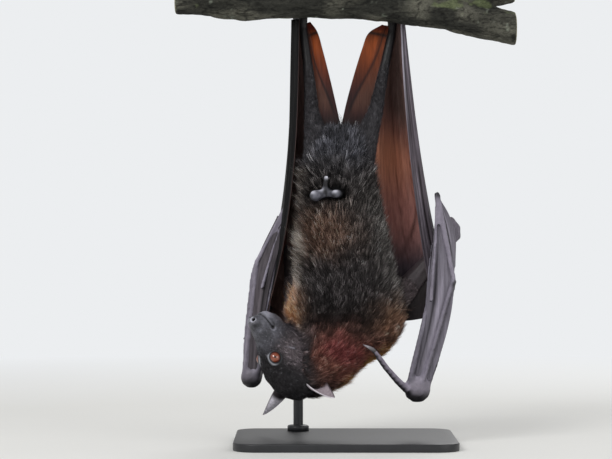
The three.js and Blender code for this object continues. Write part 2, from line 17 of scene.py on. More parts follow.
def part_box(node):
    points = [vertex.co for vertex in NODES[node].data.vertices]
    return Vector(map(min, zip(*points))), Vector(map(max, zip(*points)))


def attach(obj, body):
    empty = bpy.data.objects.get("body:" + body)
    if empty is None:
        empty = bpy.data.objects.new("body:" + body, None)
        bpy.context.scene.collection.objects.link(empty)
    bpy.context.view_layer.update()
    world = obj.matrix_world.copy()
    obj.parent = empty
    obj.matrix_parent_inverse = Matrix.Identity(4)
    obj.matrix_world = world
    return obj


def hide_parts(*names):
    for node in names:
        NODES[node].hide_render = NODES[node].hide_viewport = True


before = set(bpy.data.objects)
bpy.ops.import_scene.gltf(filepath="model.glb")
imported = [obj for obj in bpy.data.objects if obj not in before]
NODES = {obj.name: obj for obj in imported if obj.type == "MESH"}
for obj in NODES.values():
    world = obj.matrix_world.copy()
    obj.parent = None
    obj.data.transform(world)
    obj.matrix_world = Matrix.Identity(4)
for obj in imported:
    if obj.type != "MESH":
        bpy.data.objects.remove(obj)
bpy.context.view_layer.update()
SIDES = ("right", "left")
MM = 0.001

# ---- Driving sizes ----

CAMERA = {"at": (-0.039, -2.4, 0.2145), "lens": 141.2, "sensor": 36.0}
VOXEL = 1.3  # grid on which the solids of the body are fused into one skin
GROW = 0.55  # how far each solid swells first, to meet its neighbours
WEB = 0.7  # thickness of the wing membranes
COAT_DEPTH = {"trunk": 6.5, "neck": 7.0, "thigh": 4.0, "shin": 1.2, "upper_arm": 4.5, "head": 1.4, "jaw": 1.0}
BARE_DEPTH = 0.25
COAT_SHARE = 1.0


# ---- Numbers ----


def unit(v):
    return v / np.maximum(np.linalg.norm(v, axis=-1, keepdims=True), 1e-9)


def ramp(x, low, high):
    """0 up to low, 1 from high on, and a smooth step between."""
    t = np.clip((x - low) / (high - low), 0, 1)
    return t * t * (3 - 2 * t)


def bell(x, middle, reach):
    return np.exp(-(((x - middle) / reach) ** 2))


def blob(points, centre, reach):
    """A soft spot: 1 at its centre, fading over reach."""
    return np.exp(-(((points - np.asarray(centre)) / np.asarray(reach)) ** 2).sum(-1))


def colour(text):
    """A linear colour from its sRGB hex."""
    channels = np.array([int(text[i : i + 2], 16) for i in (0, 2, 4)]) / 255
    return np.where(channels <= 0.04045, channels / 12.92, ((channels + 0.055) / 1.055) ** 2.4)


def paint(under, over, mask):
    """A colour laid over others where the mask is 1."""
    return under + (over - under) * np.asarray(mask)[..., None]


def painted(under, *layers):
    """Layers of (what, mask) in turn. What is an sRGB hex, a factor on the colour below it, or colours."""
    for what, mask in layers:
        if isinstance(what, str):
            over = colour(what)
        else:
            over = what * under if isinstance(what, float) else what
        under = paint(under, over, mask)
    return under


def plain(text, *shape):
    """One colour at every place of a shape."""
    return np.tile(colour(text), (*shape, 1))


def blobs(points, spots):
    """Several soft spots of (centre, reach) in one mask."""
    return sum(blob(points, centre, reach) for centre, reach in spots)


def places_over(rows, columns):
    """How far down and how far across each cell of a grid lies, from 0 to 1."""
    return np.meshgrid(np.linspace(0, 1, rows), np.linspace(0, 1, columns), indexing="ij")


def box_of(name):
    """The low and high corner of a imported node, in millimetres."""
    return (np.array(corner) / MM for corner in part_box(name))


def noise(points, size, seed=0):
    """Smooth value noise from -1 to 1, with features of the given size along each axis."""
    place = points.reshape(-1, 3) / np.asarray(size, float) + 51.3 + 17.1 * seed
    cell = np.floor(place).astype(np.int64)
    share = place - cell
    share = share * share * (3 - 2 * share)
    total = np.zeros(len(place))
    for corner in itertools.product((0, 1), repeat=3):
        x, y, z = (cell + corner).T
        value = (x * 73856093) ^ (y * 19349663) ^ (z * 83492791) ^ (seed * 2654435761)
        value = ((value ^ (value >> 13)) * 1274126177) & 0xFFFFFFFF
        value = ((value ^ (value >> 16)) & 0xFFFF) / 32767.5 - 1
        total += value * np.prod(np.where(corner, share, 1 - share), axis=1)
    return total.reshape(points.shape[:-1])


def curve(points, t):
    """A centripetal Catmull-Rom curve at one t from 0 to 1. Each point may be an array of places."""
    points = np.asarray(points, float)
    last = len(points) - 1
    padded = np.concatenate([[2 * points[0] - points[1]], points, [2 * points[-1] - points[-2]]])
    place = min(max(t, 0.0), 1.0) * last
    k = min(int(place), last - 1)
    w = place - k
    p = padded[k : k + 4]
    gaps = np.maximum(np.linalg.norm(np.diff(p, axis=0), axis=-1, keepdims=True), 1e-6) ** 0.5
    d0, d1, d2 = gaps
    leave = (p[1] - p[0]) * d1 / d0 - (p[2] - p[0]) * d1 / (d0 + d1) + (p[2] - p[1])
    reach = (p[2] - p[1]) - (p[3] - p[1]) * d1 / (d1 + d2) + (p[3] - p[2]) * d1 / d2
    square = -3 * p[1] + 3 * p[2] - 2 * leave - reach
    cube = 2 * p[1] - 2 * p[2] + leave + reach
    return p[1] + leave * w + square * w**2 + cube * w**3


# ---- Shells: points, triangles and a colour for each point ----


def triangles(quads):
    return np.concatenate([quads[:, [0, 1, 2]], quads[:, [0, 2, 3]]])


def joined(shells):
    """Several (points, faces, tint) as one."""
    start = 0
    faces = []
    for points, face, _ in shells:
        faces.append(face + start)
        start += len(points)
    points, tint = (np.concatenate([shell[k] for shell in shells]) for k in (0, 2))
    return points, np.concatenate(faces), tint


def normals(points, faces):
    corners = points[faces]
    across = np.cross(corners[:, 1] - corners[:, 0], corners[:, -1] - corners[:, 0])
    total = np.empty_like(points)
    for axis in range(3):
        weights = np.repeat(across[:, axis], faces.shape[1])
        total[:, axis] = np.bincount(faces.ravel(), weights, len(points))
    return unit(total)


def edges_of(faces):
    pairs = np.concatenate([faces[:, [i, (i + 1) % faces.shape[1]]] for i in range(faces.shape[1])])
    pairs.sort(axis=1)
    return np.unique(pairs, axis=0)


def average(values, edges):
    """The mean of each point's neighbours."""
    a, b = edges.T
    count = len(values)
    degree = np.maximum(np.bincount(edges.ravel(), minlength=count), 1)
    columns = values.reshape(count, -1)
    result = np.empty_like(columns)
    for k in range(columns.shape[1]):
        column = columns[:, k]
        result[:, k] = (np.bincount(a, column[b], count) + np.bincount(b, column[a], count)) / degree
    return result.reshape(values.shape)


def soften(values, edges, rounds, weight=1.0):
    for _ in range(rounds):
        values = values + 0.5 * weight * (average(values, edges) - values)
    return values


def fair(points, edges, rounds):
    """Smooths facets away without shrinking what is thin."""
    for _ in range(rounds):
        points = points + 0.55 * (average(points, edges) - points)
        points = points - 0.58 * (average(points, edges) - points)
    return points


def tube(points, radii, sides=16, steps=24, flat=1.0):
    """A rounded limb along a smooth curve, with a radius at each point; flat squeezes its second axis."""
    rings = []
    across = np.array([1.0, 0.2, 0.0])
    angles = np.linspace(0, 2 * math.pi, sides, endpoint=False)
    last = len(radii) - 1
    ends = np.sin(np.linspace(0.12, math.pi / 2, 5))
    stops = [(0.0, e) for e in ends[:-1]] + [(i / steps, 1.0) for i in range(steps + 1)]
    stops += [(1.0, e) for e in ends[-2::-1]]
    for t, swell in stops:
        radius = curve([[r, 0, 0] for r in radii], t)[0] if last > 1 else radii[0] + (radii[1] - radii[0]) * t
        ahead = curve(points, min(t + 1e-3, 1)) - curve(points, max(t - 1e-3, 0))
        along = unit(ahead)
        across = unit(across - along * (across @ along))
        up = np.cross(along, across)
        end = math.sqrt(1 - swell**2) * radius * (1 if t > 0.5 else -1)
        centre = curve(points, t) + along * end
        spoke = np.outer(np.cos(angles), across) + flat * np.outer(np.sin(angles), up)
        rings.append(centre + radius * swell * spoke)
    return closed_loft(np.array(rings))


def closed_loft(rings):
    """Rings joined side to side, with a fan over each end."""
    count, sides = rings.shape[:2]
    points = np.concatenate([rings.reshape(-1, 3), rings[[0, -1]].mean(axis=1)])
    ring = np.arange(sides)
    ahead = (ring + 1) % sides
    rows = np.arange(count - 1)[:, None] * sides
    below = rows + sides
    quads = np.stack([rows + ring, rows + ahead, below + ahead, below + ring], -1).reshape(-1, 4)
    top = (count - 1) * sides
    first = np.stack([ahead, ring, np.full(sides, len(points) - 2)], -1)
    final = np.stack([top + ring, top + ahead, np.full(sides, len(points) - 1)], -1)
    return points, np.concatenate([triangles(quads), first, final])


def outwards(grid):
    return unit(np.cross(np.gradient(grid, axis=1), np.gradient(grid, axis=0)))


def sheet(grid, thickness, inside, outside, turned=False):
    """A closed membrane: the grid of places thickened, with a colour for each place on its two sides."""
    rows, columns = grid.shape[:2]
    out = outwards(grid)
    if turned:
        out = -out
    points = np.concatenate([(grid - out * thickness / 2), (grid + out * thickness / 2)]).reshape(-1, 3)
    place = np.arange(rows * columns).reshape(rows, columns)
    cells = np.stack([place[:-1, :-1], place[:-1, 1:], place[1:, 1:], place[1:, :-1]], -1).reshape(-1, 4)
    rim = np.concatenate([place[0, :-1], place[:-1, -1], place[-1, :0:-1], place[:0:-1, 0]])
    back = rows * columns
    wall = np.stack([rim, np.roll(rim, -1), np.roll(rim, -1) + back, rim + back], -1)
    quads = np.concatenate([cells, cells[:, ::-1] + back, wall[:, ::-1]])
    if turned:
        quads = quads[:, ::-1]
    tint = np.concatenate([inside, outside]).reshape(-1, 3)
    return points, triangles(quads), tint


def make(name, points, faces, tint=None, material=None):
    """A Blender object of the shell, smooth shaded."""
    mesh = bpy.data.meshes.new(name)
    mesh.vertices.add(len(points))
    mesh.vertices.foreach_set("co", (points * MM).astype(np.float32).ravel())
    mesh.loops.add(faces.size)
    mesh.loops.foreach_set("vertex_index", faces.astype(np.int32).ravel())
    mesh.polygons.add(len(faces))
    mesh.polygons.foreach_set("loop_start", np.arange(0, faces.size, faces.shape[1], dtype=np.int32))
    mesh.polygons.foreach_set("use_smooth", np.ones(len(faces), bool))
    mesh.update(calc_edges=True)
    if tint is not None:
        layer = mesh.color_attributes.new("tint", "FLOAT_COLOR", "POINT")
        rgba = np.concatenate([tint, np.ones((len(tint), 1))], axis=1)
        layer.data.foreach_set("color", rgba.astype(np.float32).ravel())
    obj = bpy.data.objects.new(name, mesh)
    bpy.context.scene.collection.objects.link(obj)
    if material is not None:
        mesh.materials.append(material)
    return obj


def dress(obj, slot, *nodes):
    """The piece rides on the still model and stands for the nodes. The slot is not used."""
    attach(obj, "root")
    if nodes:
        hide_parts(*nodes)
    return obj


# ---- Materials ----


class Finish:
    """A node material, built by naming nodes and joining their sockets."""

    def __init__(self, name, roughness=0.6, specular=0.4):
        self.material = bpy.data.materials.new(name)
        self.material.use_nodes = True
        self.tree = self.material.node_tree
        self.shader = self.tree.nodes["Principled BSDF"]
        self.shader.inputs["Roughness"].default_value = roughness
        self.shader.inputs["Specular IOR Level"].default_value = specular

    def add(self, kind, **settings):
        node = self.tree.nodes.new("ShaderNode" + kind)
        for key, value in settings.items():
            if key in node.inputs:
                node.inputs[key].default_value = value
            else:
                setattr(node, key, value)
        return node

    def link(self, source, target):
        self.tree.links.new(source, target)

    def tint(self):
        return self.add("Attribute", attribute_name="tint").outputs["Color"]

    def places(self, stretch=(1, 1, 1)):
        """Places in the model's frame, squeezed along each axis."""
        node = self.add("Mapping", Scale=stretch)
        self.link(self.add("TexCoord").outputs["Object"], node.inputs["Vector"])
        return node.outputs["Vector"]

    def grain(self, scale, stretch=(1, 1, 1), detail=4.0, rough=0.6):
        node = self.add("TexNoise", Scale=scale, Detail=detail, Roughness=rough)
        self.link(self.places(stretch), node.inputs["Vector"])
        return node.outputs["Fac"]

    def shaded(self, base, pattern, low, high):
        """The base colour times a factor that runs from low to high with the pattern."""
        spread = self.add("MapRange", **{"From Min": 0.3, "From Max": 0.7, "To Min": low, "To Max": high})
        self.link(pattern, spread.inputs["Value"])
        times = self.add("VectorMath", operation="MULTIPLY")
        self.link(base, times.inputs[0])
        self.link(spread.outputs["Result"], times.inputs[1])
        return times.outputs["Vector"]

    def bumps(self, *layers):
        """Bump layers of (pattern, strength, distance in metres), one over the other."""
        below = None
        for pattern, strength, distance in layers:
            node = self.add("Bump", Strength=strength, Distance=distance)
            self.link(pattern, node.inputs["Height"])
            if below is not None:
                self.link(below, node.inputs["Normal"])
            below = node.outputs["Normal"]
        self.link(below, self.shader.inputs["Normal"])

    def base(self, source):
        self.link(source, self.shader.inputs["Base Color"])


def skin_material():
    """Leathery skin: fine creases over a soft mottling."""
    finish = Finish("bat_skin", roughness=0.46, specular=0.3)
    finish.base(finish.shaded(finish.tint(), finish.grain(260), 0.86, 1.14))
    creases = finish.add("TexVoronoi", feature="DISTANCE_TO_EDGE", Scale=900)
    finish.link(finish.places(), creases.inputs["Vector"])
    finish.bumps((finish.grain(700), 0.35, 0.0004), (creases.outputs["Distance"], 0.25, 0.0003))
    return finish.material


def membrane_material():
    """Wing skin: long fine wrinkles running up and down, with a dull silky sheen."""
    finish = Finish("bat_wing_skin", roughness=0.55, specular=0.16)
    lengthwise = finish.grain(420, (1, 1, 0.09), 5.0)
    finish.base(finish.shaded(finish.tint(), lengthwise, 0.72, 1.25))
    finish.bumps((lengthwise, 0.5, 0.0007), (finish.grain(1500), 0.25, 0.0002))
    return finish.material


def coat_material(name, roughness):
    finish = Finish(name, roughness=roughness, specular=0.18)
    finish.base(finish.shaded(finish.tint(), finish.grain(900), 0.8, 1.2))
    return finish.material


def eye_material():
    """A wet eye: a clear coat over the painted ball."""
    finish = Finish("bat_eye", roughness=0.4, specular=0.2)
    finish.shader.inputs["Coat Weight"].default_value = 1.0
    finish.shader.inputs["Coat IOR"].default_value = 1.75
    finish.shader.inputs["Coat Roughness"].default_value = 0.08
    finish.base(finish.shaded(finish.tint(), finish.grain(2500), 0.8, 1.2))
    return finish.material


def claw_material():
    finish = Finish("bat_claw", roughness=0.3, specular=0.5)
    finish.base(finish.shaded(finish.tint(), finish.grain(900, (1, 1, 0.3)), 0.75, 1.2))
    finish.bumps((finish.grain(1200, (1, 1, 0.2)), 0.3, 0.0002))
    return finish.material


def bark_material():
    """Furrowed dead wood, with pale scuffs and lichen painted in its tint."""
    finish = Finish("branch_bark", roughness=0.92, specular=0.2)
    furrows = finish.grain(160, (0.25, 1, 1), 8.0, 0.7)
    speckle = finish.shaded(finish.tint(), finish.grain(520, (0.6, 1, 1), 6.0, 0.75), 0.45, 1.75)
    finish.base(finish.shaded(speckle, furrows, 0.5, 1.4))
    plates = finish.add("TexVoronoi", feature="DISTANCE_TO_EDGE", Scale=120)
    finish.link(finish.places((0.35, 1, 1)), plates.inputs["Vector"])
    cracks = plates.outputs["Distance"]
    finish.bumps((furrows, 0.8, 0.003), (cracks, 0.5, 0.002), (finish.grain(900), 0.4, 0.0006))
    return finish.material


def stand_material():
    """Satin black paint on steel, with the faintest orange peel."""
    finish = Finish("stand_black", roughness=0.42, specular=0.5)
    base = finish.add("RGB")
    base.outputs["Color"].default_value = (*colour("26272a"), 1)
    finish.base(finish.shaded(base.outputs["Color"], finish.grain(60), 0.85, 1.15))
    finish.bumps((finish.grain(1800), 0.12, 0.0002))
    return finish.material


def floor_material():
    """Pale and matt round the object, and as pale as the backdrop where it runs out of sight."""
    finish = Finish("studio_floor", roughness=0.9, specular=0.1)
    base = finish.add("RGB")
    base.outputs["Color"].default_value = (*colour("e9e9e6"), 1)
    finish.base(finish.shaded(base.outputs["Color"], finish.grain(3), 0.99, 1.01))
    away = finish.add("VectorMath", operation="LENGTH")
    finish.link(finish.places(), away.inputs[0])
    fade = finish.add("MapRange", **{"From Min": FLOOR["near"], "From Max": FLOOR["far"]})
    finish.link(away.outputs["Value"], fade.inputs["Value"])
    seen = finish.add("Math", operation="MULTIPLY")
    finish.link(fade.outputs["Result"], seen.inputs[0])
    finish.link(finish.add("LightPath").outputs["Is Camera Ray"], seen.inputs[1])
    glow = finish.add("Emission", Color=(*colour(BACKDROP), 1))
    mix = finish.add("MixShader")
    finish.link(seen.outputs[0], mix.inputs[0])
    finish.link(finish.shader.outputs[0], mix.inputs[1])
    finish.link(glow.outputs[0], mix.inputs[2])
    finish.link(mix.outputs[0], finish.tree.nodes["Material Output"].inputs["Surface"])
    return finish.material


# ---- Studio ----

BACKDROP = "eceef0"
SKY_STRENGTH = 0.5
# Half the floor's width in mm, and where it starts and ends fading, in metres.
FLOOR = {"half": 9000.0, "near": 0.6, "far": 1.7}

# Each lamp's name, place and width in metres, and power in watts.
LAMPS = (
    ("key", (-1.1, -1.7, 1.5), 1.1, 26),
    ("fill", (1.6, -1.3, 0.7), 1.4, 9),
    ("back", (0.6, 1.8, 1.4), 1.2, 14),
)


def make_camera():
    data = bpy.data.cameras.new("camera")
    data.lens = CAMERA["lens"]
    data.sensor_width = CAMERA["sensor"]
    data.clip_start = 0.05
    data.clip_end = 50
    camera = bpy.data.objects.new("camera", data)
    camera.location = CAMERA["at"]
    camera.rotation_euler = (math.pi / 2, 0, 0)
    bpy.context.scene.collection.objects.link(camera)
    bpy.context.scene.camera = camera


def area_light(name, at, target, size, watts):
    data = bpy.data.lights.new(name, "AREA")
    data.shape = "DISK"
    data.size = size
    data.energy = watts
    light = bpy.data.objects.new(name, data)
    light.location = at
    light.rotation_euler = (Vector(target) - Vector(at)).to_track_quat("-Z", "Y").to_euler()
    bpy.context.scene.collection.objects.link(light)


def make_sky():
    """Even light from all round, and the backdrop's colour where the camera looks past the floor."""
    world = bpy.data.worlds.new("sky")
    bpy.context.scene.world = world
    world.use_nodes = True
    tree = world.node_tree
    tree.nodes.clear()

    def background(rgba, strength):
        node = tree.nodes.new("ShaderNodeBackground")
        node.inputs["Color"].default_value = rgba
        node.inputs["Strength"].default_value = strength
        return node

    path = tree.nodes.new("ShaderNodeLightPath")
    seen = tree.nodes.new("ShaderNodeMath")
    seen.operation = "MAXIMUM"
    choose = tree.nodes.new("ShaderNodeMixShader")
    output = tree.nodes.new("ShaderNodeOutputWorld")
    tree.links.new(path.outputs["Is Camera Ray"], seen.inputs[0])
    tree.links.new(path.outputs["Is Transmission Ray"], seen.inputs[1])
    tree.links.new(seen.outputs[0], choose.inputs[0])
    tree.links.new(background((1, 1, 1, 1), SKY_STRENGTH).outputs[0], choose.inputs[1])
    tree.links.new(background((*colour(BACKDROP), 1), 1.0).outputs[0], choose.inputs[2])
    tree.links.new(choose.outputs[0], output.inputs["Surface"])


def make_studio():
    """A pale floor that fades into the backdrop, an even sky, and three soft lamps."""
    bpy.context.scene.view_settings.view_transform = "Standard"
    make_sky()
    half = FLOOR["half"]
    corners = np.array([[-half, -half, 0], [half, -half, 0], [half, half, 0], [-half, half, 0]])
    floor = make("studio_floor", corners, np.array([[0, 1, 2, 3]]), None, floor_material())

    middle = (0, 0, 0.25)
    for name, at, size, watts in LAMPS:
        area_light(name, at, middle, size, watts)


# ---- Stand and branch ----

BASE = {"corner": 24.0, "bevel": 1.2}
ROD = {"radius": 5.0, "across": -47.0, "back": 64.0, "bend": 424.0}
COLLAR = {"width": 6, "sides": 40}


def perch_at(x):
    sag = 5 * bell(x, -100, 42) - 2 * bell(x, 8, 22) + 6 * bell(x, 62, 40)
    return np.array([x, 0.0, 446.5 - sag + 8 * max(0.0, (x - 90) / 80) ** 1.3])


def perch_radius(x):
    return 17 + 5.5 * bell(x, 15, 90) - 3 * max(0.0, (x - 90) / 80)


def stand_base():
    """The plate, its corners and edges rounded."""
    low, high = box_of("stand_base")
    rings = []
    bevel = BASE["bevel"]
    turns = np.linspace(0, math.pi / 2, 5)
    profile = [(bevel * (1 - math.sin(a)), low[2] + bevel * (1 - math.cos(a))) for a in turns]
    profile += [(bevel * (1 - math.cos(a)), high[2] - bevel * (1 - math.sin(a))) for a in turns]
    profile += [(bevel + 8.0, high[2])]
    for inset, height in profile:
        ring = []
        for quarter in range(4):
            for angle in np.linspace(0, math.pi / 2, 12) + quarter * math.pi / 2:
                sign = np.sign([math.cos(quarter * math.pi / 2 + 0.1), math.sin(quarter * math.pi / 2 + 0.1)])
                centre = (high[:2] - BASE["corner"]) * sign
                reach = BASE["corner"] - inset
                ring.append([*(centre + reach * np.array([math.cos(angle), math.sin(angle)])), height])
        rings.append(ring)
    points, faces = closed_loft(np.array(rings))
    return make("stand_plate", points, faces, None, stand_material())


def stand_rod():
    """The bent rod from the plate up to the back of the branch, with a collar round its foot."""
    across, back, bend, radius = ROD["across"], ROD["back"], ROD["bend"], ROD["radius"]
    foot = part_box("stand_base")[1].z / MM
    route = [
        (across, back, foot - 1),
        (across, back, 0.25 * bend),
        (across, back, 0.5 * bend),
        (across, back, bend),
        (across - 2, back - 3, bend + 13),
        (across - 14, back - 20, bend + 22),
        (across - 30, back - 40, bend + 24),
        perch_at(across - 38),
    ]
    rod = (*tube(route, [radius] * len(route), 24, 90), None)
    collar_radius = radius + COLLAR["width"]
    heights = [(collar_radius, 0.0), (collar_radius, 4.6), (collar_radius - 0.7, 5.6)]
    heights += [(collar_radius - 2, 6.0), (radius, 6.0)]
    turns = np.linspace(0, 2 * math.pi, COLLAR["sides"], endpoint=False)
    rings = [
        np.stack([across + r * np.cos(turns), back + r * np.sin(turns), np.full_like(turns, foot + h)], -1)
        for r, h in heights
    ]
    collar = (*closed_loft(np.array(rings)), None)
    points = np.concatenate([rod[0], collar[0]])
    faces = np.concatenate([rod[1], collar[1] + len(rod[0])])
    return make("stand_post", points, faces, None, stand_material())


def branch():
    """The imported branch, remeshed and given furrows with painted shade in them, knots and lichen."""
    points, faces = fused(["perch"], 0.0, 1.5)
    edges = edges_of(faces)
    points = fair(points, edges, 10)
    points = soften(points, edges, 10)
    low, high = (corner[0] for corner in box_of("perch"))
    out = normals(points, faces)
    on_end = ramp(np.abs(out[:, 0]), 0.75, 0.95) * ramp(np.abs(points[:, 0]), high - 5, high - 2)
    furrow = noise(points, (24, 5, 5), 1) + 0.8 * noise(points, (9, 2.6, 2.6), 2)
    lump = noise(points, (22, 14, 14), 3)
    height = (0.9 * np.abs(furrow) - 0.9 + 0.9 * lump) * (1 - on_end)
    points = points + out * height[:, None]
    points[:, 0] = np.clip(points[:, 0], low, high)
    tint = plain("2c2c28", len(points))
    tint = painted(
        tint,
        ("57564d", ramp(lump, -0.2, 0.8)),
        # painted shade in the deepest furrows
        ("141412", ramp(-np.abs(furrow), -0.25, 0.0) * 0.8),
    )
    moss = ramp(noise(points, 15, 5) + 0.5 * noise(points, 4, 6) + 0.7 * out[:, 2], 0.45, 1.0)
    tint = paint(tint, colour("5c6446"), 0.7 * moss)
    scab = ramp(noise(points, 7, 8) + 0.4 * noise(points, 2.2, 9), 0.8, 1.05)
    tint = paint(tint, colour("7a8074"), 0.6 * scab)
    centre = np.array([perch_at(x)[2] for x in (low, high)])
    middle = np.where(points[:, 0] < 0, centre[0], centre[1])
    distance = np.hypot(points[:, 1], points[:, 2] - middle)
    rings = 0.5 + 0.5 * np.sin(distance * 4.2 + 2 * noise(points, 6, 10))
    wood = paint(plain("a39f87", len(points)), colour("7d765f"), 0.6 * rings)
    tint = paint(tint, wood, on_end)
    return make("branch", points, faces, tint, bark_material())


# ---- Fused skin ----


def welded(obj):
    """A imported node's points and triangles, with the shared corners merged."""
    mesh = obj.data
    points = np.empty(len(mesh.vertices) * 3, np.float32)
    mesh.vertices.foreach_get("co", points)
    points = points.reshape(-1, 3).astype(float) / MM
    mesh.calc_loop_triangles()
    faces = np.empty(len(mesh.loop_triangles) * 3, np.int32)
    mesh.loop_triangles.foreach_get("vertices", faces)
    _, first, index = np.unique(np.round(points, 3), axis=0, return_index=True, return_inverse=True)
    return points[first], index.ravel()[faces].reshape(-1, 3)


def arrays_of(mesh):
    """The points and quads of a remeshed surface."""
    points = np.empty(len(mesh.vertices) * 3, np.float32)
    mesh.vertices.foreach_get("co", points)
    faces = np.empty(len(mesh.loops), np.int32)
    mesh.loops.foreach_get("vertex_index", faces)
    return points.reshape(-1, 3).astype(float) / MM, faces.reshape(len(mesh.polygons), -1)


def fused(names, grow, voxel, extra=()):
    """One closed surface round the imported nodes, each swollen a little to meet its neighbours."""
    shells = []
    for name in names:
        points, faces = welded(NODES[name])
        shells.append((points + grow * normals(points, faces), faces, points))
    shells += [(points, faces, points) for points, faces in extra]
    points, faces, _ = joined(shells)
    obj = make("fusing", points, faces)
    modifier = obj.modifiers.new("fuse", "REMESH")
    modifier.mode = "VOXEL"
    modifier.voxel_size = voxel * MM
    evaluated = obj.evaluated_get(bpy.context.evaluated_depsgraph_get())
    points, faces = arrays_of(evaluated.to_mesh())
    evaluated.to_mesh_clear()
    bpy.data.objects.remove(obj)
    return points, faces


def refined(points, faces, chosen):
    """Splits each chosen triangle in four, and its neighbours so that no gap opens."""
    corner = faces[:, [[0, 1], [1, 2], [2, 0]]].astype(np.int64)
    keys, index = np.unique(corner.min(2) * len(points) + corner.max(2), return_inverse=True)
    index = index.reshape(-1, 3)
    cut = np.zeros(len(keys), bool)
    cut[index[chosen]] = True
    number = np.full(len(keys), -1)
    number[cut] = len(points) + np.arange(cut.sum())
    ends = np.stack([keys[cut] // len(points), keys[cut] % len(points)], -1)
    middle = number[index]
    count = (middle >= 0).sum(1)
    f, m = faces[count == 3].T, middle[count == 3].T
    made = [faces[count == 0]]
    made += [np.stack(t, -1) for t in ((f[0], m[0], m[2]), (m[0], f[1], m[1]), (m[2], m[1], f[2]), m)]
    for k in range(3):
        order = [k, (k + 1) % 3, (k + 2) % 3]
        one = (count == 1) & (middle[:, k] >= 0)
        a, b, c = faces[one][:, order].T
        made += [np.stack(t, -1) for t in ((a, middle[one, k], c), (middle[one, k], b, c))]
        two = (count == 2) & (middle[:, k] < 0)
        a, b, c = faces[two][:, order].T
        d, e = middle[two, order[1]], middle[two, order[2]]
        made += [np.stack(t, -1) for t in ((a, b, d), (a, d, e), (e, d, c))]
    return np.concatenate([points, points[ends].mean(axis=1)]), np.concatenate(made)


# ---- Head ----

NOSE = np.array([-93.0, -34.0, 127.0])
FORWARDS = unit(np.array([-0.543, -0.23, 0.807]))
SIDEWAYS = np.array([0.515, -0.851, 0.104])
RIGHTWARDS = unit(SIDEWAYS - FORWARDS * (SIDEWAYS @ FORWARDS))
CROWNWARDS = np.cross(RIGHTWARDS, FORWARDS)
HEAD_AXES = np.array([-FORWARDS, CROWNWARDS, RIGHTWARDS])
EYEBALL = 0.92  # the ball's share of its solid, which holds the lids too
LID = {"long": 0.93, "high": 0.84, "thick": 0.55}


def in_head(points):
    """Places measured back from the nose, up to the crown, and to the bat's right."""
    return (points - NOSE) @ HEAD_AXES.T


def head_point(back, up, right):
    return NOSE + np.array([back, up, right]) @ HEAD_AXES


def head_direction(back, up, right):
    return unit(np.array([back, up, right]) @ HEAD_AXES)


def eye_of(side):
    """An eye's centre, its ball's radius and the way it looks."""
    low, high = box_of(f"eye_{side}")
    gaze = head_direction(-0.33, 0.3, 0.9) if side == "right" else head_direction(-0.45, 0.62, -0.62)
    return (low + high) / 2 - 0.6 * gaze, EYEBALL * (high[0] - low[0]) / 2, gaze


def eye_axes(gaze):
    """The long and the high way of an eye's opening."""
    long_way = unit(FORWARDS - gaze * (FORWARDS @ gaze))
    return long_way, np.cross(gaze, long_way)


def around_eye(points, side):
    """How far out each point lies in an eye's opening, 1 on its rim, with its direction and distance."""
    centre, _, gaze = eye_of(side)
    long_way, high_way = eye_axes(gaze)
    away = points - centre
    distance = np.linalg.norm(away, axis=1)
    direction = away / np.maximum(distance, 1e-6)[:, None]
    angle = np.arccos(np.clip(direction @ gaze, -1, 1))
    turn = np.arctan2(direction @ high_way, direction @ long_way)
    rho = np.hypot(angle * np.cos(turn) / LID["long"], angle * np.sin(turn) / LID["high"])
    rho = np.where(distance < 14, rho, 9.0)
    return rho, direction, distance


# Soft forms of the face: back, up and out from the middle line, their reach, and how far they rise or sink.
FACE_FORMS = (
    (7, -3.5, 8.5, 4.5, 0.9),  # whisker pad
    (16, -1.0, 11.5, 5.5, 0.5),
    (30, 3.0, 15, 6.5, -1.5),  # hollow before the eye
    (42, 19, 13, 6.0, 1.5),  # brow
    (52, -3, 22, 9.0, 1.2),  # cheek
    (3.5, -15.5, 2, 4.5, 1.3),  # chin
    (12, -16, 9, 6.0, 0.6),  # lower lip
    (18.6, -9.2, 12, 1.9, -2.2),  # corner of the mouth
    (21.6, -7.6, 12.6, 2.0, 1.2),
    (17, -12.4, 12, 2.6, 0.7),
    (0, 2.6, 0, 2.0, -0.6),  # groove between the nostrils
)
NOSTRIL = {"back": 2.2, "up": 0.6, "out": 3.9, "rim": 2.9, "reach": 1.95}
CHEEK_FOLD = {"back": 44.7, "up": -9.5, "long": 7.0, "wide": 1.7}  # a fold of bare skin behind the mouth


def from_nostril(back, up, out):
    return np.sqrt((back - NOSTRIL["back"]) ** 2 + (up - NOSTRIL["up"]) ** 2 + (out - NOSTRIL["out"]) ** 2)


def cheek_fold(back, up, right):
    """1 on the fold's ridge; it slants down and back."""
    ahead, above = back - CHEEK_FOLD["back"], up - CHEEK_FOLD["up"]
    along, across = 0.743 * ahead - 0.668 * above, 0.668 * ahead + 0.743 * above
    ridge = bell(along, 0, CHEEK_FOLD["long"]) * bell(across, 0, CHEEK_FOLD["wide"])
    return ridge * ramp(np.abs(right), 8, 14)


def mouth_height(back):
    return -8.4 - 0.9 * np.sin(np.clip(back, 0, 19) / 19 * math.pi) - 0.6 * ramp(back, 12, 19)


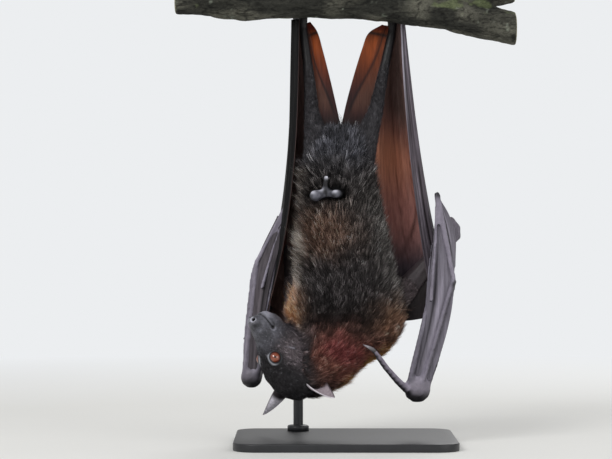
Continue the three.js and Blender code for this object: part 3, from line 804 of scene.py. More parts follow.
def sculpted(points, faces, on_head):
    """Presses the face's forms into the skin: nostrils, lips, chin, brow, cheeks and lids."""
    back, up, right = in_head(points).T
    out = np.abs(right)
    rise = np.zeros(len(points))
    for at_back, at_up, at_out, reach, height in FACE_FORMS:
        rise += height * np.exp(-((back - at_back) ** 2 + (up - at_up) ** 2 + (out - at_out) ** 2) / reach**2)
    line = np.abs(up - mouth_height(back))
    mouth = 1 - ramp(back, 17.5, 20.5)
    rise += mouth * (0.45 * bell(line, 1.9, 1.2) - 1.1 * np.exp(-((line / 0.7) ** 2)))
    away = from_nostril(back, up, out)
    rise += 1.3 * bell(away, NOSTRIL["rim"], 0.85) - 3.4 * np.exp(-((away / NOSTRIL["reach"]) ** 4))
    rise -= 1.0 * np.exp(-((right / 0.7) ** 2)) * (1 - ramp(back, 3, 6)) * ramp(up, -9, -7)
    rise += 0.9 * cheek_fold(back, up, right) - 0.9 * cheek_fold(back - 1.6, up - 1.9, right)
    wrinkle = bell(noise(in_head(points), (3.6, 10, 5), 23), 0, 0.12)
    naked = 1 - ramp(back, 24, 40)
    rise += naked * (0.07 * noise(points, 1.3, 21) - 0.13 * wrinkle * ramp(back, 5, 12))
    rise += 0.35 * noise(points, (7, 7, 7), 22)
    points = points + normals(points, faces) * (rise * on_head)[:, None]
    for side in SIDES:
        radius = eye_of(side)[1]
        rho, direction, distance = around_eye(points, side)
        rim = ramp(rho, 0.9, 1.0)
        crease = 0.3 * bell(rho, 1.36, 0.08)
        lid = (radius - 1.3) * (1 - rim) + (radius + LID["thick"] - crease) * rim
        blend = ramp(rho, 1.15, 1.65)
        reach = np.where(rho < 3, lid * (1 - blend) + distance * blend, distance)
        points = points + direction * ((reach - distance) * on_head)[:, None]
    return points


def eyeball(side):
    """The ball, its cornea bulging a little, painted with an iris round a dark pupil."""
    centre, radius, gaze = eye_of(side)
    count = 72
    turns = np.linspace(0, 2 * math.pi, 2 * count, endpoint=False)
    falls = np.linspace(0.02, math.pi - 0.02, count)
    long_way, high_way = eye_axes(gaze)
    rings = []
    for fall in falls:
        reach = radius + 0.35 * bell(fall, 0, 0.62)
        ring = np.outer(np.cos(turns), long_way) + np.outer(np.sin(turns), high_way)
        rings.append(centre + reach * (math.cos(fall) * gaze + math.sin(fall) * ring))
    points, faces = closed_loft(np.array(rings))
    direction = unit(points - centre)
    fall = np.arccos(np.clip(direction @ gaze, -1, 1))
    turn = np.arctan2(direction @ high_way, direction @ long_way)
    rays = noise(np.stack([np.cos(turn) * 9, np.sin(turn) * 9, fall * 2], -1), 1, 31)
    tint = plain("7a3010", len(points))
    tint = painted(
        tint,
        ("b0611f", ramp(rays, -0.2, 0.9) * 0.6),
        ("4a160c", ramp(fall, 0.5, 0.85)),
        ("1c0f0c", ramp(fall, 0.95, 1.1)),
        ("1c0a06", 1 - ramp(fall, 0.13, 0.2)),
    )
    return make(f"eyeball_{side}", points, faces, tint, eye_material())


# Middle of the root, tip, the way the opening faces across, the way it cups, half its width, and its skin
# colour, with painted light on the left ear and painted shade on the right.
EARS = {
    "right": {
        "base": (-31, -31, 65),
        "tip": (-11.5, -52, 50.5),
        "across": (0.9, 0.3, 0.25),
        "cup": -1,
        "half": 8.8,
        # darker than the left ear's skin: painted shade
        "skin": "a79ba2",
    },
    "left": {
        "base": head_point(83, 9, -20),
        "tip": (-82.5, 24, 28),
        "across": (0.66, 0.75, 0),
        "cup": 1,
        "half": 8.2,
        # far paler than the right ear's skin: painted light
        "skin": "ece8f4",
    },
}


def ear(side):
    """A pointed leaf of skin rolled about its long axis, pale inside, with painted shade at its root, a
    painted highlight along its front edge and painted shade along its hind edge.
    """
    base, tip, across = (np.asarray(EARS[side][key], float) for key in ("base", "tip", "across"))
    cup, root = EARS[side]["cup"], EARS[side]["half"]
    axis = unit(tip - base)
    base = base - 4 * axis
    length = np.linalg.norm(tip - base)
    wide = unit(across - axis * (across @ axis))
    deep = np.cross(wide, axis) * cup
    v, u = places_over(44, 40)
    half = root * (1 - v**1.9) ** 0.8 + 0.5
    roll = (u - 0.5) * np.radians(210 + (120 - 210) * v)
    ribs = 0.012 * np.sin(v * 60) * ramp(v, 0.2, 0.4) * (1 - ramp(v, 0.7, 0.9)) * bell(u, 0.5, 0.25)
    half = half * (1 + ribs)
    grid = base + length * v[..., None] * axis
    grid = grid + (half * np.sin(roll))[..., None] * wide - (half * np.cos(roll) * 0.8)[..., None] * deep
    pale = plain(EARS[side]["skin"], *u.shape)
    mottle = 0.5 + 0.5 * noise(grid, 3.5, 41)
    inside = paint(pale, 0.7 * pale, 0.6 * ramp(v, 0.6, 1) + 0.3 * mottle)
    # painted shade at the root, where the ear meets the fur
    inside = paint(inside, colour("4a3f44"), 1 - ramp(v, 0.1, 0.3))
    outside = paint(pale, 0.35 * pale, 0.6 * mottle * (side == "right"))
    # painted shade at the root on the outside too
    outside = paint(outside, colour("2b2629"), 1 - ramp(v, 0.1, 0.3))
    # a painted highlight along the front edge and painted shade along the hind edge
    light, dark = bell(u, 0, 0.07), bell(u, 1, 0.07)
    if side == "left":
        light, dark = dark, light
    lit_and_shaded_rims = (("e2dce4", 0.8 * light), ("2a2225", 0.85 * dark))
    inside, outside = (painted(face, *lit_and_shaded_rims) for face in (inside, outside))
    return sheet(grid, 0.9, inside, outside, turned=cup > 0)


# ---- Feet and claws ----

ANKLES = {"right": (48.0, 21.0, 414.0), "left": (-42.0, 21.0, 417.0)}
HIPS = {"right": (13.0, 3.0, 282.0), "left": (-25.0, 3.0, 282.0)}
# Bones and claws run through stations: the toes' spread, the angle round the branch, the height over it.
TOES = {
    "count": 5,
    "spacing": 4.3,
    "bones": ((0.7, 12, 4.4), (1.0, 34, 4.6), (1.15, 54, 4.0), (1.15, 74, 4.4), (1.15, 94, 3.6)),
    "claws": ((1.15, 90, 3.9), (1.15, 99, 5.0), (1.15, 110, 4.6), (1.15, 121, 1.6), (1.15, 124, 0.4)),
}


def round_perch(x, degrees, height):
    """A point on an arc round the branch: 0 degrees is behind it and 90 is on top."""
    reach = perch_radius(x) + height
    angle = math.radians(degrees)
    return perch_at(x) + np.array([0, reach * math.cos(angle), reach * math.sin(angle)])


def toe_stations(x, offset, stations):
    return [round_perch(x + spread * offset, degrees, height) for spread, degrees, height in stations]


def toe_places(side):
    """Where along the branch each toe lies, as the ankle's x and an offset from it."""
    for i in range(TOES["count"]):
        yield ANKLES[side][0], (i - (TOES["count"] - 1) / 2) * TOES["spacing"]


def foot_tubes(side):
    """The sole behind the branch, and the toes with their knuckles over its top."""
    ankle = np.array(ANKLES[side])
    x = ankle[0]
    sole = [ankle - (0, 0, 6), ankle, round_perch(x, -38, 6), round_perch(x, 0, 5.2), round_perch(x, 30, 4.6)]
    tubes = [tube(sole, [4.4, 4.8, 5.6, 6.4, 6.2], 18, 24)]
    for place in toe_places(side):
        tubes.append(tube(toe_stations(*place, TOES["bones"]), [2.5, 2.1, 2.5, 1.9, 1.9], 12, 20))
    return tubes


# Where the second and fifth fingers run out into their neighbours: route and radii.
KNUCKLES = (
    (((-95, 19, 158), (-92.5, 17.5, 172), (-89, 13.5, 184)), (2.2, 2.2, 2.0)),
    (((83.5, -12.5, 168), (84.5, -10.5, 184), (86.5, -7, 200)), (2.1, 1.7, 0.8)),
)


def knuckle_tubes():
    return [tube(route, radii, 14, 20) for route, radii in KNUCKLES]


def horn(points, radii):
    """A claw: dark at its root and paler to its point."""
    shell = tube(points, radii, 14, 26, 0.75)
    start, end = np.asarray(points[0], float), np.asarray(points[-1], float)
    share = ((shell[0] - start) @ (end - start)) / ((end - start) @ (end - start))
    tint = paint(plain("2b282a", len(share)), colour("8f8a90"), ramp(share, 0.1, 0.9))
    return (*shell, tint)


THUMB_CLAWS = {
    "right": [(31, -32, 91.5), (27.5, -33.3, 95.5), (22.5, -34.5, 98.5), (17.6, -32.4, 100.8)],
    "left": [(-62, 36.3, 101.5), (-59.5, 37.2, 104.6), (-55, 38, 107.2), (-49.8, 36, 108.8)],
}


def claws():
    """The ten toe claws and the two thumb claws, as one piece of horn for each limb."""
    material = claw_material()
    for side in SIDES:
        routes = [toe_stations(*place, TOES["claws"]) for place in toe_places(side)]
        shells = [horn(route, [1.5, 1.6, 1.3, 0.7, 0.3]) for route in routes]
        dress(make(f"toe_claws_{side}", *joined(shells), material), "claw")
        points, radii = THUMB_CLAWS[side], [2.0, 2.2, 1.5, 0.5]
        dress(make(f"thumb_horn_{side}", *horn(points, radii), material), "claw", f"thumb_claw_{side}")


# ---- Wing membranes ----

ANKLE_HEIGHT = 416.0
WING_DROP = 268.0


def cape_rails(side, h):
    """The five lines that carry the main membrane, from inside the flank round behind to its front edge."""
    z = ANKLE_HEIGHT - h * WING_DROP
    if side == "right":
        x = (47 - 60 * h + 58 * h * h, 52 + 8 * h + 40 * h**3)
        x += (61 + 28 * h + 16 * h**3, 56 + 8 * h + 21 * h * h)
        y = (20 + 3 * h, 22 + 24 * np.sin(math.pi * np.clip(h / 0.95, 0, 1)))
        y += (13 - 14 * h + 8 * h * h, 7 - 34 * h + 16 * h * h)
        inwards = -11
    else:
        x = (-41 + 28 * h - 36 * h * h, -48 - 8 * h - 28 * h**3)
        x += (-53 - 3 * h - 18 * h**3, -46 - 4 * h - 24 * h**3)
        y = (20 + 3 * h, 22 + 27 * np.sin(0.5 * math.pi * np.clip(h / 0.7, 0, 1)))
        y += (12 - 10 * h + 6 * h * h, 6 - 30 * h + 16 * h * h)
        inwards = 11
    deep = ramp(h, 0.25, 0.5)
    x = (x[0] + inwards * deep, *x)
    y = (y[0] - 9 * deep, *y)
    return np.array([np.stack([a, b, z], -1) for a, b in zip(x, y)])


CAPE_BOTTOMS = {"right": (1.03, 1.03, 0.9, 0.84, 0.99), "left": (1.04, 1.12, 1.17, 1.09, 0.94)}


def folded(grid, across, along, depth, seed):
    """Presses irregular folds that run up and down into a grid, as deep as depth says at each place."""
    rows, columns = grid.shape[:2]
    v, u = places_over(rows, columns)
    places = np.stack([u * across, v * along, 0 * u], -1)
    fold = noise(places, 1, seed) + 0.5 * noise(places * (2.3, 1.4, 1), 1, seed + 1)
    out = outwards(grid)
    return grid + out * (depth * fold)[..., None], fold


def cape(side):
    rows, columns = 130, 110
    v = np.linspace(0, 1, rows)
    steps = np.linspace(0, 1, columns)
    ends = [[b, 0, 0] for b in CAPE_BOTTOMS[side]]
    above = -0.035 * (1 - v)  # past the ankles, up to the branch
    grid = np.stack([curve(cape_rails(side, above + v * curve(ends, u)[0]), u) for u in steps], axis=1)
    v, u = np.meshgrid(v, steps, indexing="ij")
    strip = ramp(u, 0.6, 0.75)
    depth = (0.5 + 0.7 * strip) * ramp(u, 0.05, 0.3) * (1 - 0.6 * ramp(u, 0.95, 1))
    grid, fold = folded(grid, 34, 2.2, depth, 51)
    z = grid[..., 2]
    lines = np.stack([u * 95, v * 3, 0 * u], -1)
    pleat = noise(lines, 1, 55) + 0.5 * noise(lines * 2.1, 1, 56)
    veins = bell(noise(np.stack([u * 9 + v, v * 1.2, 0 * u], -1), 1, 57), 0, 0.05)
    if side == "right":
        # The right inside is painted orange-brown for light shining through the membrane: a painted glow at
        # mid height, less of that light toward the ankles and the wrist, painted shade beside the strip, and
        # veins.
        inner = plain("966862", rows, columns)
        inner = painted(
            inner,
            ("be8266", 0.9 * bell(z, 288, 34) * bell(u, 0.36, 0.26)),
            ("5c4c48", 0.9 * ramp(z + 70 * (u - 0.3), 300, 356)),
            ("423840", 1 - ramp(z, 172, 226)),
            ("46302f", 0.6 * ramp(u, 0.55, 0.7)),
            ("3a201b", 0.5 * veins),
        )
        crossing = u - 0.4 - (z - 199) / 270
        inner = paint(inner, colour("2c1512"), 0.8 * bell(crossing, 0, 0.012) * bell(z, 220, 22))
        # The right strip's outside: painted light and shade across its folds and pleats, and a painted
        # highlight along its outer rim.
        outer = plain("544d54", rows, columns)
        outer = painted(
            outer,
            ("87808b", 0.7 * ramp(fold + pleat, 0.1, 1.2)),
            ("1d181b", 0.85 * ramp(-fold - pleat, 0.1, 1.1)),
            ("b5b1be", 0.8 * bell(u, 0.98, 0.03) * ramp(z, 300, 380)),
        )
    else:
        # The left wing hangs in shade: its inside has dark-red streaks of painted light shining through, and
        # its outside is near black, painted shade, lighter across its folds and pleats as painted light.
        inner = plain("6b5754", rows, columns)
        inner = paint(inner, colour("6e322e"), 0.7 * bell(z, 205, 34) * ramp(pleat, 0, 1))
        outer = plain("0a0a0b", rows, columns)
        outer = paint(outer, colour("1f1e21"), 0.7 * ramp(fold + pleat, 0.3, 1.2))
    # painted shade in the folds of both wings' insides
    inner = paint(inner, 0.4 * inner, 0.4 * ramp(-fold - 0.6 * pleat, 0.3, 1.2))
    return sheet(grid, WEB, inner, outer, turned=side == "left")


# The free edge and the leg edge of each tail web, and the orange painted at its top as light shining through
# it.
TAIL_WEBS = {
    "right": {
        "free": (
            (38, 21, 421), (24, 17, 412), (17.5, 16, 396),
            (2.5, 10, 345), (-4.2, 7, 314), (-7, 3, 294),
        ),
        "leg": (
            (45, 21, 420), (44, 20, 402), (39, 17, 376),
            (30, 12, 335), (20, 7, 307), (16, 3, 290),
        ),
        "top": "683219",
    },
    "left": {
        "free": (
            (-35, 21, 424), (-28, 17, 414), (-22, 16, 394),
            (-10, 10, 345), (-3.8, 7, 314), (-2, 3, 294),
        ),
        "leg": (
            (-41, 21, 422), (-39, 20, 404), (-37, 17, 376),
            (-33, 12, 335), (-27, 7, 307), (-24, 3, 290),
        ),
        "top": "6a311a",
    },
}


def web_grid(near, far, rows, columns, bulge=0.0):
    """A sheet between two lines, bulging back between them."""
    lines = [np.array([curve(line, t) for t in np.linspace(0, 1, rows)]) for line in (near, far)]
    u = np.linspace(0, 1, columns)[None, :, None]
    return lines[0][:, None] * (1 - u) + lines[1][:, None] * u + np.array([0, bulge, 0]) * np.sin(math.pi * u)


def tail_web(side):
    rows, columns = 110, 34
    grid = web_grid(TAIL_WEBS[side]["free"], TAIL_WEBS[side]["leg"], rows, columns, 3.0)
    u = np.linspace(0, 1, columns) * np.ones((rows, 1))
    z = grid[..., 2]
    grid, fold = folded(grid, 4.5, 2.0, 0.5 * ramp(z, 318, 345), 61)
    crease = 0.16 + 0.5 * ramp(z, 330, 405)  # the slanting fold, from the crotch to the ankle
    # The front is painted as light shining through: orange at the top with a painted glow under the ankles,
    # darker towards the crotch, and painted shade along the slanting fold, in a line under the ankles and in
    # the folds.
    front = plain("301b1b", rows, columns)
    front = painted(
        front,
        ("4c3229", 0.85 * ramp(u, crease, crease + 0.1) * ramp(z, 325, 345)),
        (TAIL_WEBS[side]["top"], ramp(z, 345, 396) * (1 - 0.5 * ramp(u, 0.75, 1))),
        ("8f4620", 0.7 * bell(z, 400, 13) * bell(u, 0.35, 0.4)),
        ("1d1514", 0.9 * bell(z + 4 * u, 413, 1.8)),
        ("5a231a", ramp(z, 414, 417)),
        ("1a1212", 0.8 * bell(u, crease, 0.05) * ramp(z, 325, 340)),
        ("1e1a1a", 1 - ramp(z, 314, 334)),
        ("2b1a17", 0.5 * ramp(-fold, 0.2, 1.0)),
    )
    # painted shade in the folds of the back
    back = paint(plain("3a2c2b", rows, columns), colour("1e1818"), 0.6 * ramp(fold, 0, 1))
    return sheet(grid, WEB, back, front, turned=side == "right")


# Shoulder, elbow and wrist of each arm, and the colour of the membrane in its bend: the right one near black,
# painted shade.
ARMS = {
    "right": {"shoulder": (38, 8, 128), "elbow": (108.5, 22, 211), "wrist": (80, -9, 60), "web": "1f1a1b"},
    "left": {"shoulder": (-44, 8, 128), "elbow": (-58, 58, 222), "wrist": (-95, 26, 70), "web": "5a4541"},
}


def arm_joints(side, *keys):
    return tuple(np.array(ARMS[side][key], float) for key in keys)


def arm_web(side):
    """The membrane in the bend of the arm."""
    shoulder, elbow, wrist = arm_joints(side, "shoulder", "elbow", "wrist")
    rows, columns = 70, 40
    v, u = (share[..., None] for share in places_over(rows, columns))
    inner = shoulder + (elbow - shoulder) * (0.05 + 0.9 * v)
    outer = wrist + (elbow - wrist) * (0.45 + 0.5 * v)
    droop = np.sin(math.pi * np.sqrt(u)) * (1 - v)
    grid = inner + (outer - inner) * u + np.array([0, -3, -8]) * droop
    grid, fold = folded(grid, 4, 3, 0.5 * np.sin(math.pi * u[..., 0]), 71)
    base = plain(ARMS[side]["web"], rows, columns)
    # painted shade in the folds
    tint = paint(base, 0.3 * base, 0.7 * ramp(-fold, 0, 1))
    return sheet(grid, WEB, tint, tint)


HAND_WEBS = {
    "right": {
        "palm": (
            ((66, -17, 64), (80.5, -19.5, 134), (86, -20, 180), (91, -17.5, 244)),
            ((83, -16, 64), (98, -19, 110), (105, -21, 150), (103, -20.5, 185), (93, -16.5, 244)),
        ),
        "tips": (
            ((93, -15.5, 244), (99, -14.5, 215), (105, -18, 176), (106, -20, 166)),
            ((94.5, -13, 244), (103.5, -3, 228), (110, 6, 207), (110, 2, 178)),
        ),
        "tint": "6f6b75",
    },
    "left": {
        "palm": (
            ((-88, 16, 61), (-79.5, 8, 138), (-74, 9, 168), (-59, 19, 222)),
            ((-99, 17, 61), (-93, 13, 140), (-87, 12, 182), (-67, 20, 228)),
        ),
        "tips": (
            ((-62, 24, 232), (-74, 20, 208), (-86, 16, 182), (-92, 20, 160)),
            ((-60, 48, 225), (-68, 50, 202), (-78, 46, 180), (-86, 40, 158)),
        ),
        "tint": "4e494e",
    },
}


def hand_web(side, which):
    rows, columns = 100, 30
    near, far = HAND_WEBS[side][which]
    grid = web_grid(near, far, rows, columns)
    grid = grid + 0.09 * (grid[:, -1:] - grid[:, :1]) * np.linspace(-0.6, 1, columns)[:, None]
    grid, fold = folded(grid, 5.5, 1.6, np.full((rows, columns), 0.8), 81)
    tint = plain(HAND_WEBS[side]["tint"], rows, columns)
    tint = painted(
        tint,
        # painted light and shade across the folds
        (2.1, 0.7 * ramp(fold, 0.1, 0.9)),
        (0.1, 0.9 * ramp(-fold, 0.15, 0.8)),
    )
    return sheet(grid, WEB, tint, tint)


# ---- Body skin ----

BONES = ("forearm", "wrist", "thumb", "finger_2", "finger_3", "finger_4", "finger_5")
FLESH = ["head", "jaw", "neck", "trunk", "scrotum"]
FLESH += [f"{part}_{side}" for part in ("thigh", "shin", "upper_arm", *BONES) for side in SIDES]
SHEETS = ("tail_web", "arm_web", "palm_web", "tip_web", "cape", "ear")

# The colour of bare skin, and of what lies under the coat, on each part.
SKIN = {
    "head": "1b1b1d", "jaw": "1d1d1f", "neck": "24140f", "trunk": "191513", "scrotum": "3c3c43",
    "thigh": "121112", "shin": "171618", "foot": "1d1c1e", "upper_arm": "443d40", "forearm": "443f44",
    "wrist": "6d6872", "thumb": "6b6571", "finger_2": "6a6671", "finger_3": "746f7b", "finger_4": "6a6671",
    "finger_5": "66626d",
}


# Which part of the coat grows on each node.
ZONES = {"head": 0, "jaw": 0, "neck": 1, "trunk": 2, "thigh": 3, "shin": 3, "upper_arm": 4}
BARE = 9
ZONE_NUMBERS = {"head": 0, "neck": 1, "trunk": 2, "leg": 3, "arm": 4}


def part_of(name):
    return name.removesuffix("_right").removesuffix("_left")


def owners(points, names):
    """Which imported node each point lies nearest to, as its place in names."""
    shells = [welded(NODES[name]) for name in names]
    starts = np.cumsum([0] + [len(p) for p, _ in shells])
    corners = np.concatenate([p for p, _ in shells]).tolist()
    faces = np.concatenate([f + start for (_, f), start in zip(shells, starts)]).tolist()
    tree = BVHTree.FromPolygons(corners, faces)
    owner = np.repeat(np.arange(len(names)), [len(f) for _, f in shells])
    return owner[[tree.find_nearest(p)[2] for p in points.tolist()]]


def room_behind(points, faces):
    """How thick the body is under each point."""
    tree = BVHTree.FromPolygons(points.tolist(), faces.tolist())
    inwards = -normals(points, faces)
    starts = points + 0.2 * inwards
    hits = [tree.ray_cast(p, d, 60.0)[3] for p, d in zip(starts.tolist(), inwards.tolist())]
    return np.array([60.0 if hit is None else hit for hit in hits])


def coat_axes():
    """The line that each part's unwrap turns about, by zone and whether it is on the left."""
    legs = {side: (np.array(hip), np.array(ANKLES[side])) for side, hip in HIPS.items()}
    arms = {side: arm_joints(side, "shoulder", "elbow") for side in SIDES}
    axes = {("leg", side == "left"): legs[side] for side in SIDES}
    axes |= {("arm", side == "left"): arms[side] for side in SIDES}
    axes["head", False] = (head_point(0, -3, 0), head_point(100, -3, 0))
    axes["neck", False] = (np.array([-46.0, -13.0, 66.0]), np.array([-2.0, -3.0, 114.0]))
    axes["trunk", False] = (np.array([0.0, 0.0, 60.0]), np.array([-4.0, 5.0, 320.0]))
    return axes


SCROTUM = ((-28.5, -32, 248), (-8.5, -33, 249.5))
# Painted highlights on the bare lobes of the scrotum: their places.
LOBE_HIGHLIGHTS = ((-32.5, -38, 251.5), (-25, -38, 254), (-10.5, -39, 252.5), (-18.5, -34, 266.5))
# Painted shade on the folded hands, on the right finger tip, a knuckle and the left wrist: place and reach.
SHADED_JOINTS = (
    ((92, -18, 250), (4, 6, 4)),
    ((109, -21, 160), (5, 6, 3)),
    ((-92, 24, 54), (17, 24, 13)),
)


class Body:
    """The bare skin of the body: its points, faces, colours, and how the coat grows on it."""

    def __init__(self):
        extra = [shell for side in SIDES for shell in foot_tubes(side)] + knuckle_tubes()
        points, faces = fused(FLESH + [f"eye_{side}" for side in SIDES], GROW, VOXEL, extra)
        faces = triangles(faces)
        edges = edges_of(faces)
        points = fair(points, edges, 40)
        wrists = blobs(points, [(ARMS[side]["wrist"], (12, 12, 14)) for side in SIDES])
        points = soften(points, edges, 30, np.clip(1.5 * wrists, 0, 1)[:, None])
        names = FLESH + [f"foot_{side}" for side in SIDES]
        owner = owners(points, names)
        coat = np.array([COAT_DEPTH.get(part_of(name), 0.0) for name in names])[owner]
        coat = coat * self.sleeve(points, owner, names)
        coat = coat * np.where(owner < 2, 0.2 + 0.8 * ramp(in_head(points)[:, 0], 8, 44), 1)
        coat = np.minimum(soften(coat, edges, 60), 0.28 * room_behind(points, faces))
        coat = soften(coat, edges, 20)
        weight = np.clip(coat / 5, 0, 1)[:, None]
        points = soften(points, edges, 30, weight)
        for _ in range(6):
            points = points - normals(points, faces) * (GROW + BARE_DEPTH + coat)[:, None] / 6
            points = soften(points, edges, 2, weight)
        on_head = np.isin(owner, [names.index("head"), names.index("jaw")]).astype(float)
        on_head = soften(on_head, edges, 4)
        tint = np.array([colour(SKIN[part_of(name)]) for name in names])[owner]
        tint = soften(tint, edges, 10)
        zone = np.array([ZONES.get(part_of(name), BARE) for name in names])[owner]
        self.points, self.faces = points, faces
        self.values = np.column_stack([coat, on_head, tint, zone])
        self.refine(lambda back, up, right, rho: back > -8)
        self.refine(lambda back, up, right, rho: (back < 25) | (rho < 1.6))
        self.points = sculpted(self.points, self.faces, self.on_head)
        self.zone = np.round(self.values[:, 5])
        self.axes = coat_axes()
        self.edges = edges_of(self.faces)
        self.finish()

    def sleeve(self, points, owner, names):
        """The coat thins out along each upper arm and shin, and is gone before the elbow and the ankle."""
        cover = np.ones(len(points))
        for side in SIDES:
            shoulder, elbow = arm_joints(side, "shoulder", "elbow")
            along = (points - shoulder) @ (elbow - shoulder) / ((elbow - shoulder) @ (elbow - shoulder))
            here = owner == names.index(f"upper_arm_{side}")
            cover = np.where(here, 1 - ramp(along, 0.12, 0.45), cover)
        return cover * (1 - ramp(points[:, 2], 350, 404))

    def refine(self, wanted):
        """Halves the grid of the head where it is wanted, and fairs what is new."""
        centre = self.points[self.faces].mean(axis=1)
        rho = np.minimum(*(around_eye(centre, side)[0] for side in SIDES))
        chosen = (self.values[self.faces, 1].mean(axis=1) > 0.3) & wanted(*in_head(centre).T, rho)
        before = len(self.points)
        together = np.column_stack([self.points, self.values])
        together, self.faces = refined(together, self.faces, chosen)
        self.points, self.values = together[:, :3], together[:, 3:]
        moved = np.zeros(len(self.points))
        moved[before:] = 1
        edges = edges_of(self.faces)
        moved = np.clip(average(moved, edges) * 2, 0, 1)[:, None]
        for _ in range(3):
            self.points = self.points + 0.5 * moved * (average(self.points, edges) - self.points)
            self.points = self.points - 0.52 * moved * (average(self.points, edges) - self.points)

    @property
    def on_head(self):
        return self.values[:, 1]

    def finish(self):
        self.normals = normals(self.points, self.faces)
        self.back, self.up, self.right = in_head(self.points).T
        self.rho = np.minimum(*(around_eye(self.points, side)[0] for side in SIDES))
        ahead, above, _ = (in_head(self.points) - in_head(eye_of("right")[0])).T
        self.brow = ramp(above - 0.25 * ahead, -0.5, 4) * (1 - ramp(np.abs(ahead + 0.25 * above), 5, 8.5))
        self.fold = self.on_head * cheek_fold(self.back, self.up, self.right)
        self.lobes = blobs(self.points, [(lobe, (9.5, 14, 9)) for lobe in SCROTUM])
        self.grow_coat()
        self.colour_skin()

    def grow_coat(self):
        """How long, upright and dense the coat is at each point, and which way it lies."""
        coat = self.values[:, 0]
        face = self.on_head * (1 - ramp(self.back, 18, 60))
        flank = (self.zone == 2) * ramp(-self.normals[:, 0], 0.35, 0.75) * ramp(self.points[:, 2], 150, 170)
        self.stand = 1 + 0.9 * flank
        self.length = (1.5 * coat + 1.0 * ramp(coat, 0.3, 1.5)) * (1 + 0.25 * flank)
        shortest = (1.2 + 0.9 * ramp(self.back, 18, 40)) * self.on_head
        self.length = np.maximum(self.length * (1 - 0.5 * face), shortest)
        throat = self.on_head * ramp(self.back, 20, 32) * ramp(-self.up, 14, 22)
        self.length += 6 * throat
        sparse = np.maximum(0.16 * ramp(self.back, 6, 14) + 0.84 * ramp(self.back, 20, 44), throat)
        furred = np.where(self.on_head > 0.5, sparse, ramp(coat, 0.25, 0.8))
        from_mouth = np.abs(self.up - mouth_height(self.back))
        lips = self.on_head * (1 - ramp(from_mouth, 1, 3)) * (self.back < 22)
        lids = self.on_head * (1 - ramp(self.rho, 1.25 + 0.4 * self.brow, 1.4 + 0.5 * self.brow))
        self.density = furred * (1 - lips) * (1 - lids) * (1 - 0.9 * self.fold)
        self.density *= 1 - ramp(self.lobes, 0.3, 0.5)
        self.lie = self.flow()
        self.root, self.tip = coat_colours(self)

    def colour_skin(self):
        """Bare skin takes its own colour, skin under the coat that of the roots, and the fur round the
        scrotum a painted shadow.
        """
        coat = self.values[:, 0]
        covered = np.maximum(ramp(coat, 0.5, 1.5), self.on_head) * self.density
        tint = paint(self.values[:, 2:5], self.root, covered)
        # painted shadow in the fur round the scrotum's lobes
        tint = paint(tint, colour("09090a"), ramp(self.lobes, 0.12, 0.4) * ramp(coat, 0.3, 1.5))
        self.tint = self.face_shades(self.limb_shades(tint))

    def limb_shades(self, tint):
        """Painted light on the tops and painted shade on the undersides of the wrists and thumbs, painted
        shade on the hands' joints, pale elbows, the lobes' mottle with painted shade between them, a darkened
        stalk, and painted highlights on the bare lobes.
        """
        x, _, z = self.points.T
        bare = self.zone == BARE
        thin_coat = self.values[:, 0] < 0.6
        limb = bare & (z < 200)
        facing = self.normals[:, 2]
        joint_shade = blobs(self.points, SHADED_JOINTS)
        elbows = blobs(self.points, [(ARMS[side]["elbow"], (14, 16, 16)) for side in SIDES])
        grain = 0.5 + 0.5 * noise(self.points, (2.5, 2.5, 14), 95)
        lobes = ramp(blobs(self.points, [(lobe, (14, 14, 22)) for lobe in SCROTUM]) * thin_coat, 0.2, 0.4)
        mottle = noise(self.points, 4, 98) + 0.5 * noise(self.points, 1.6, 99)
        parting_shade = bell(x + 19.2, 0, 1.1) * (1 - ramp(z, 250, 255))
        stalk = blob(self.points, (-19.5, -34, 260.5), (6, 12, 4)) * bare
        lobe_highlights = blobs(self.points, [(place, (2.6, 9, 1.9)) for place in LOBE_HIGHLIGHTS])
        return painted(
            tint,
            # painted light on the tops and painted shade on the undersides of the bare limbs
            (1.6, ramp(facing, 0.1, 0.8) * limb),
            ("0c0c0d", 0.94 * ramp(-facing, -0.1, 0.55) * limb),
            # painted shade on the folded hands
            ("19181b", np.clip(1.3 * joint_shade, 0, 0.9) * bare),
            ("6b6670", np.clip(1.4 * elbows, 0, 1) * thin_coat),
            (1.45, grain * bare),
            (0.3, lobes * ramp(-mottle, -0.1, 0.8)),
            (1.8, lobes * ramp(mottle, 0.1, 0.9)),
            # painted shade between the lobes
            (0.12, lobes * parting_shade),
            ("131214", np.clip(1.6 * stalk, 0, 0.92)),
            # painted highlights on the lobes
            ("cfcfdb", np.clip(lobe_highlights, 0, 0.85) * lobes),
        )

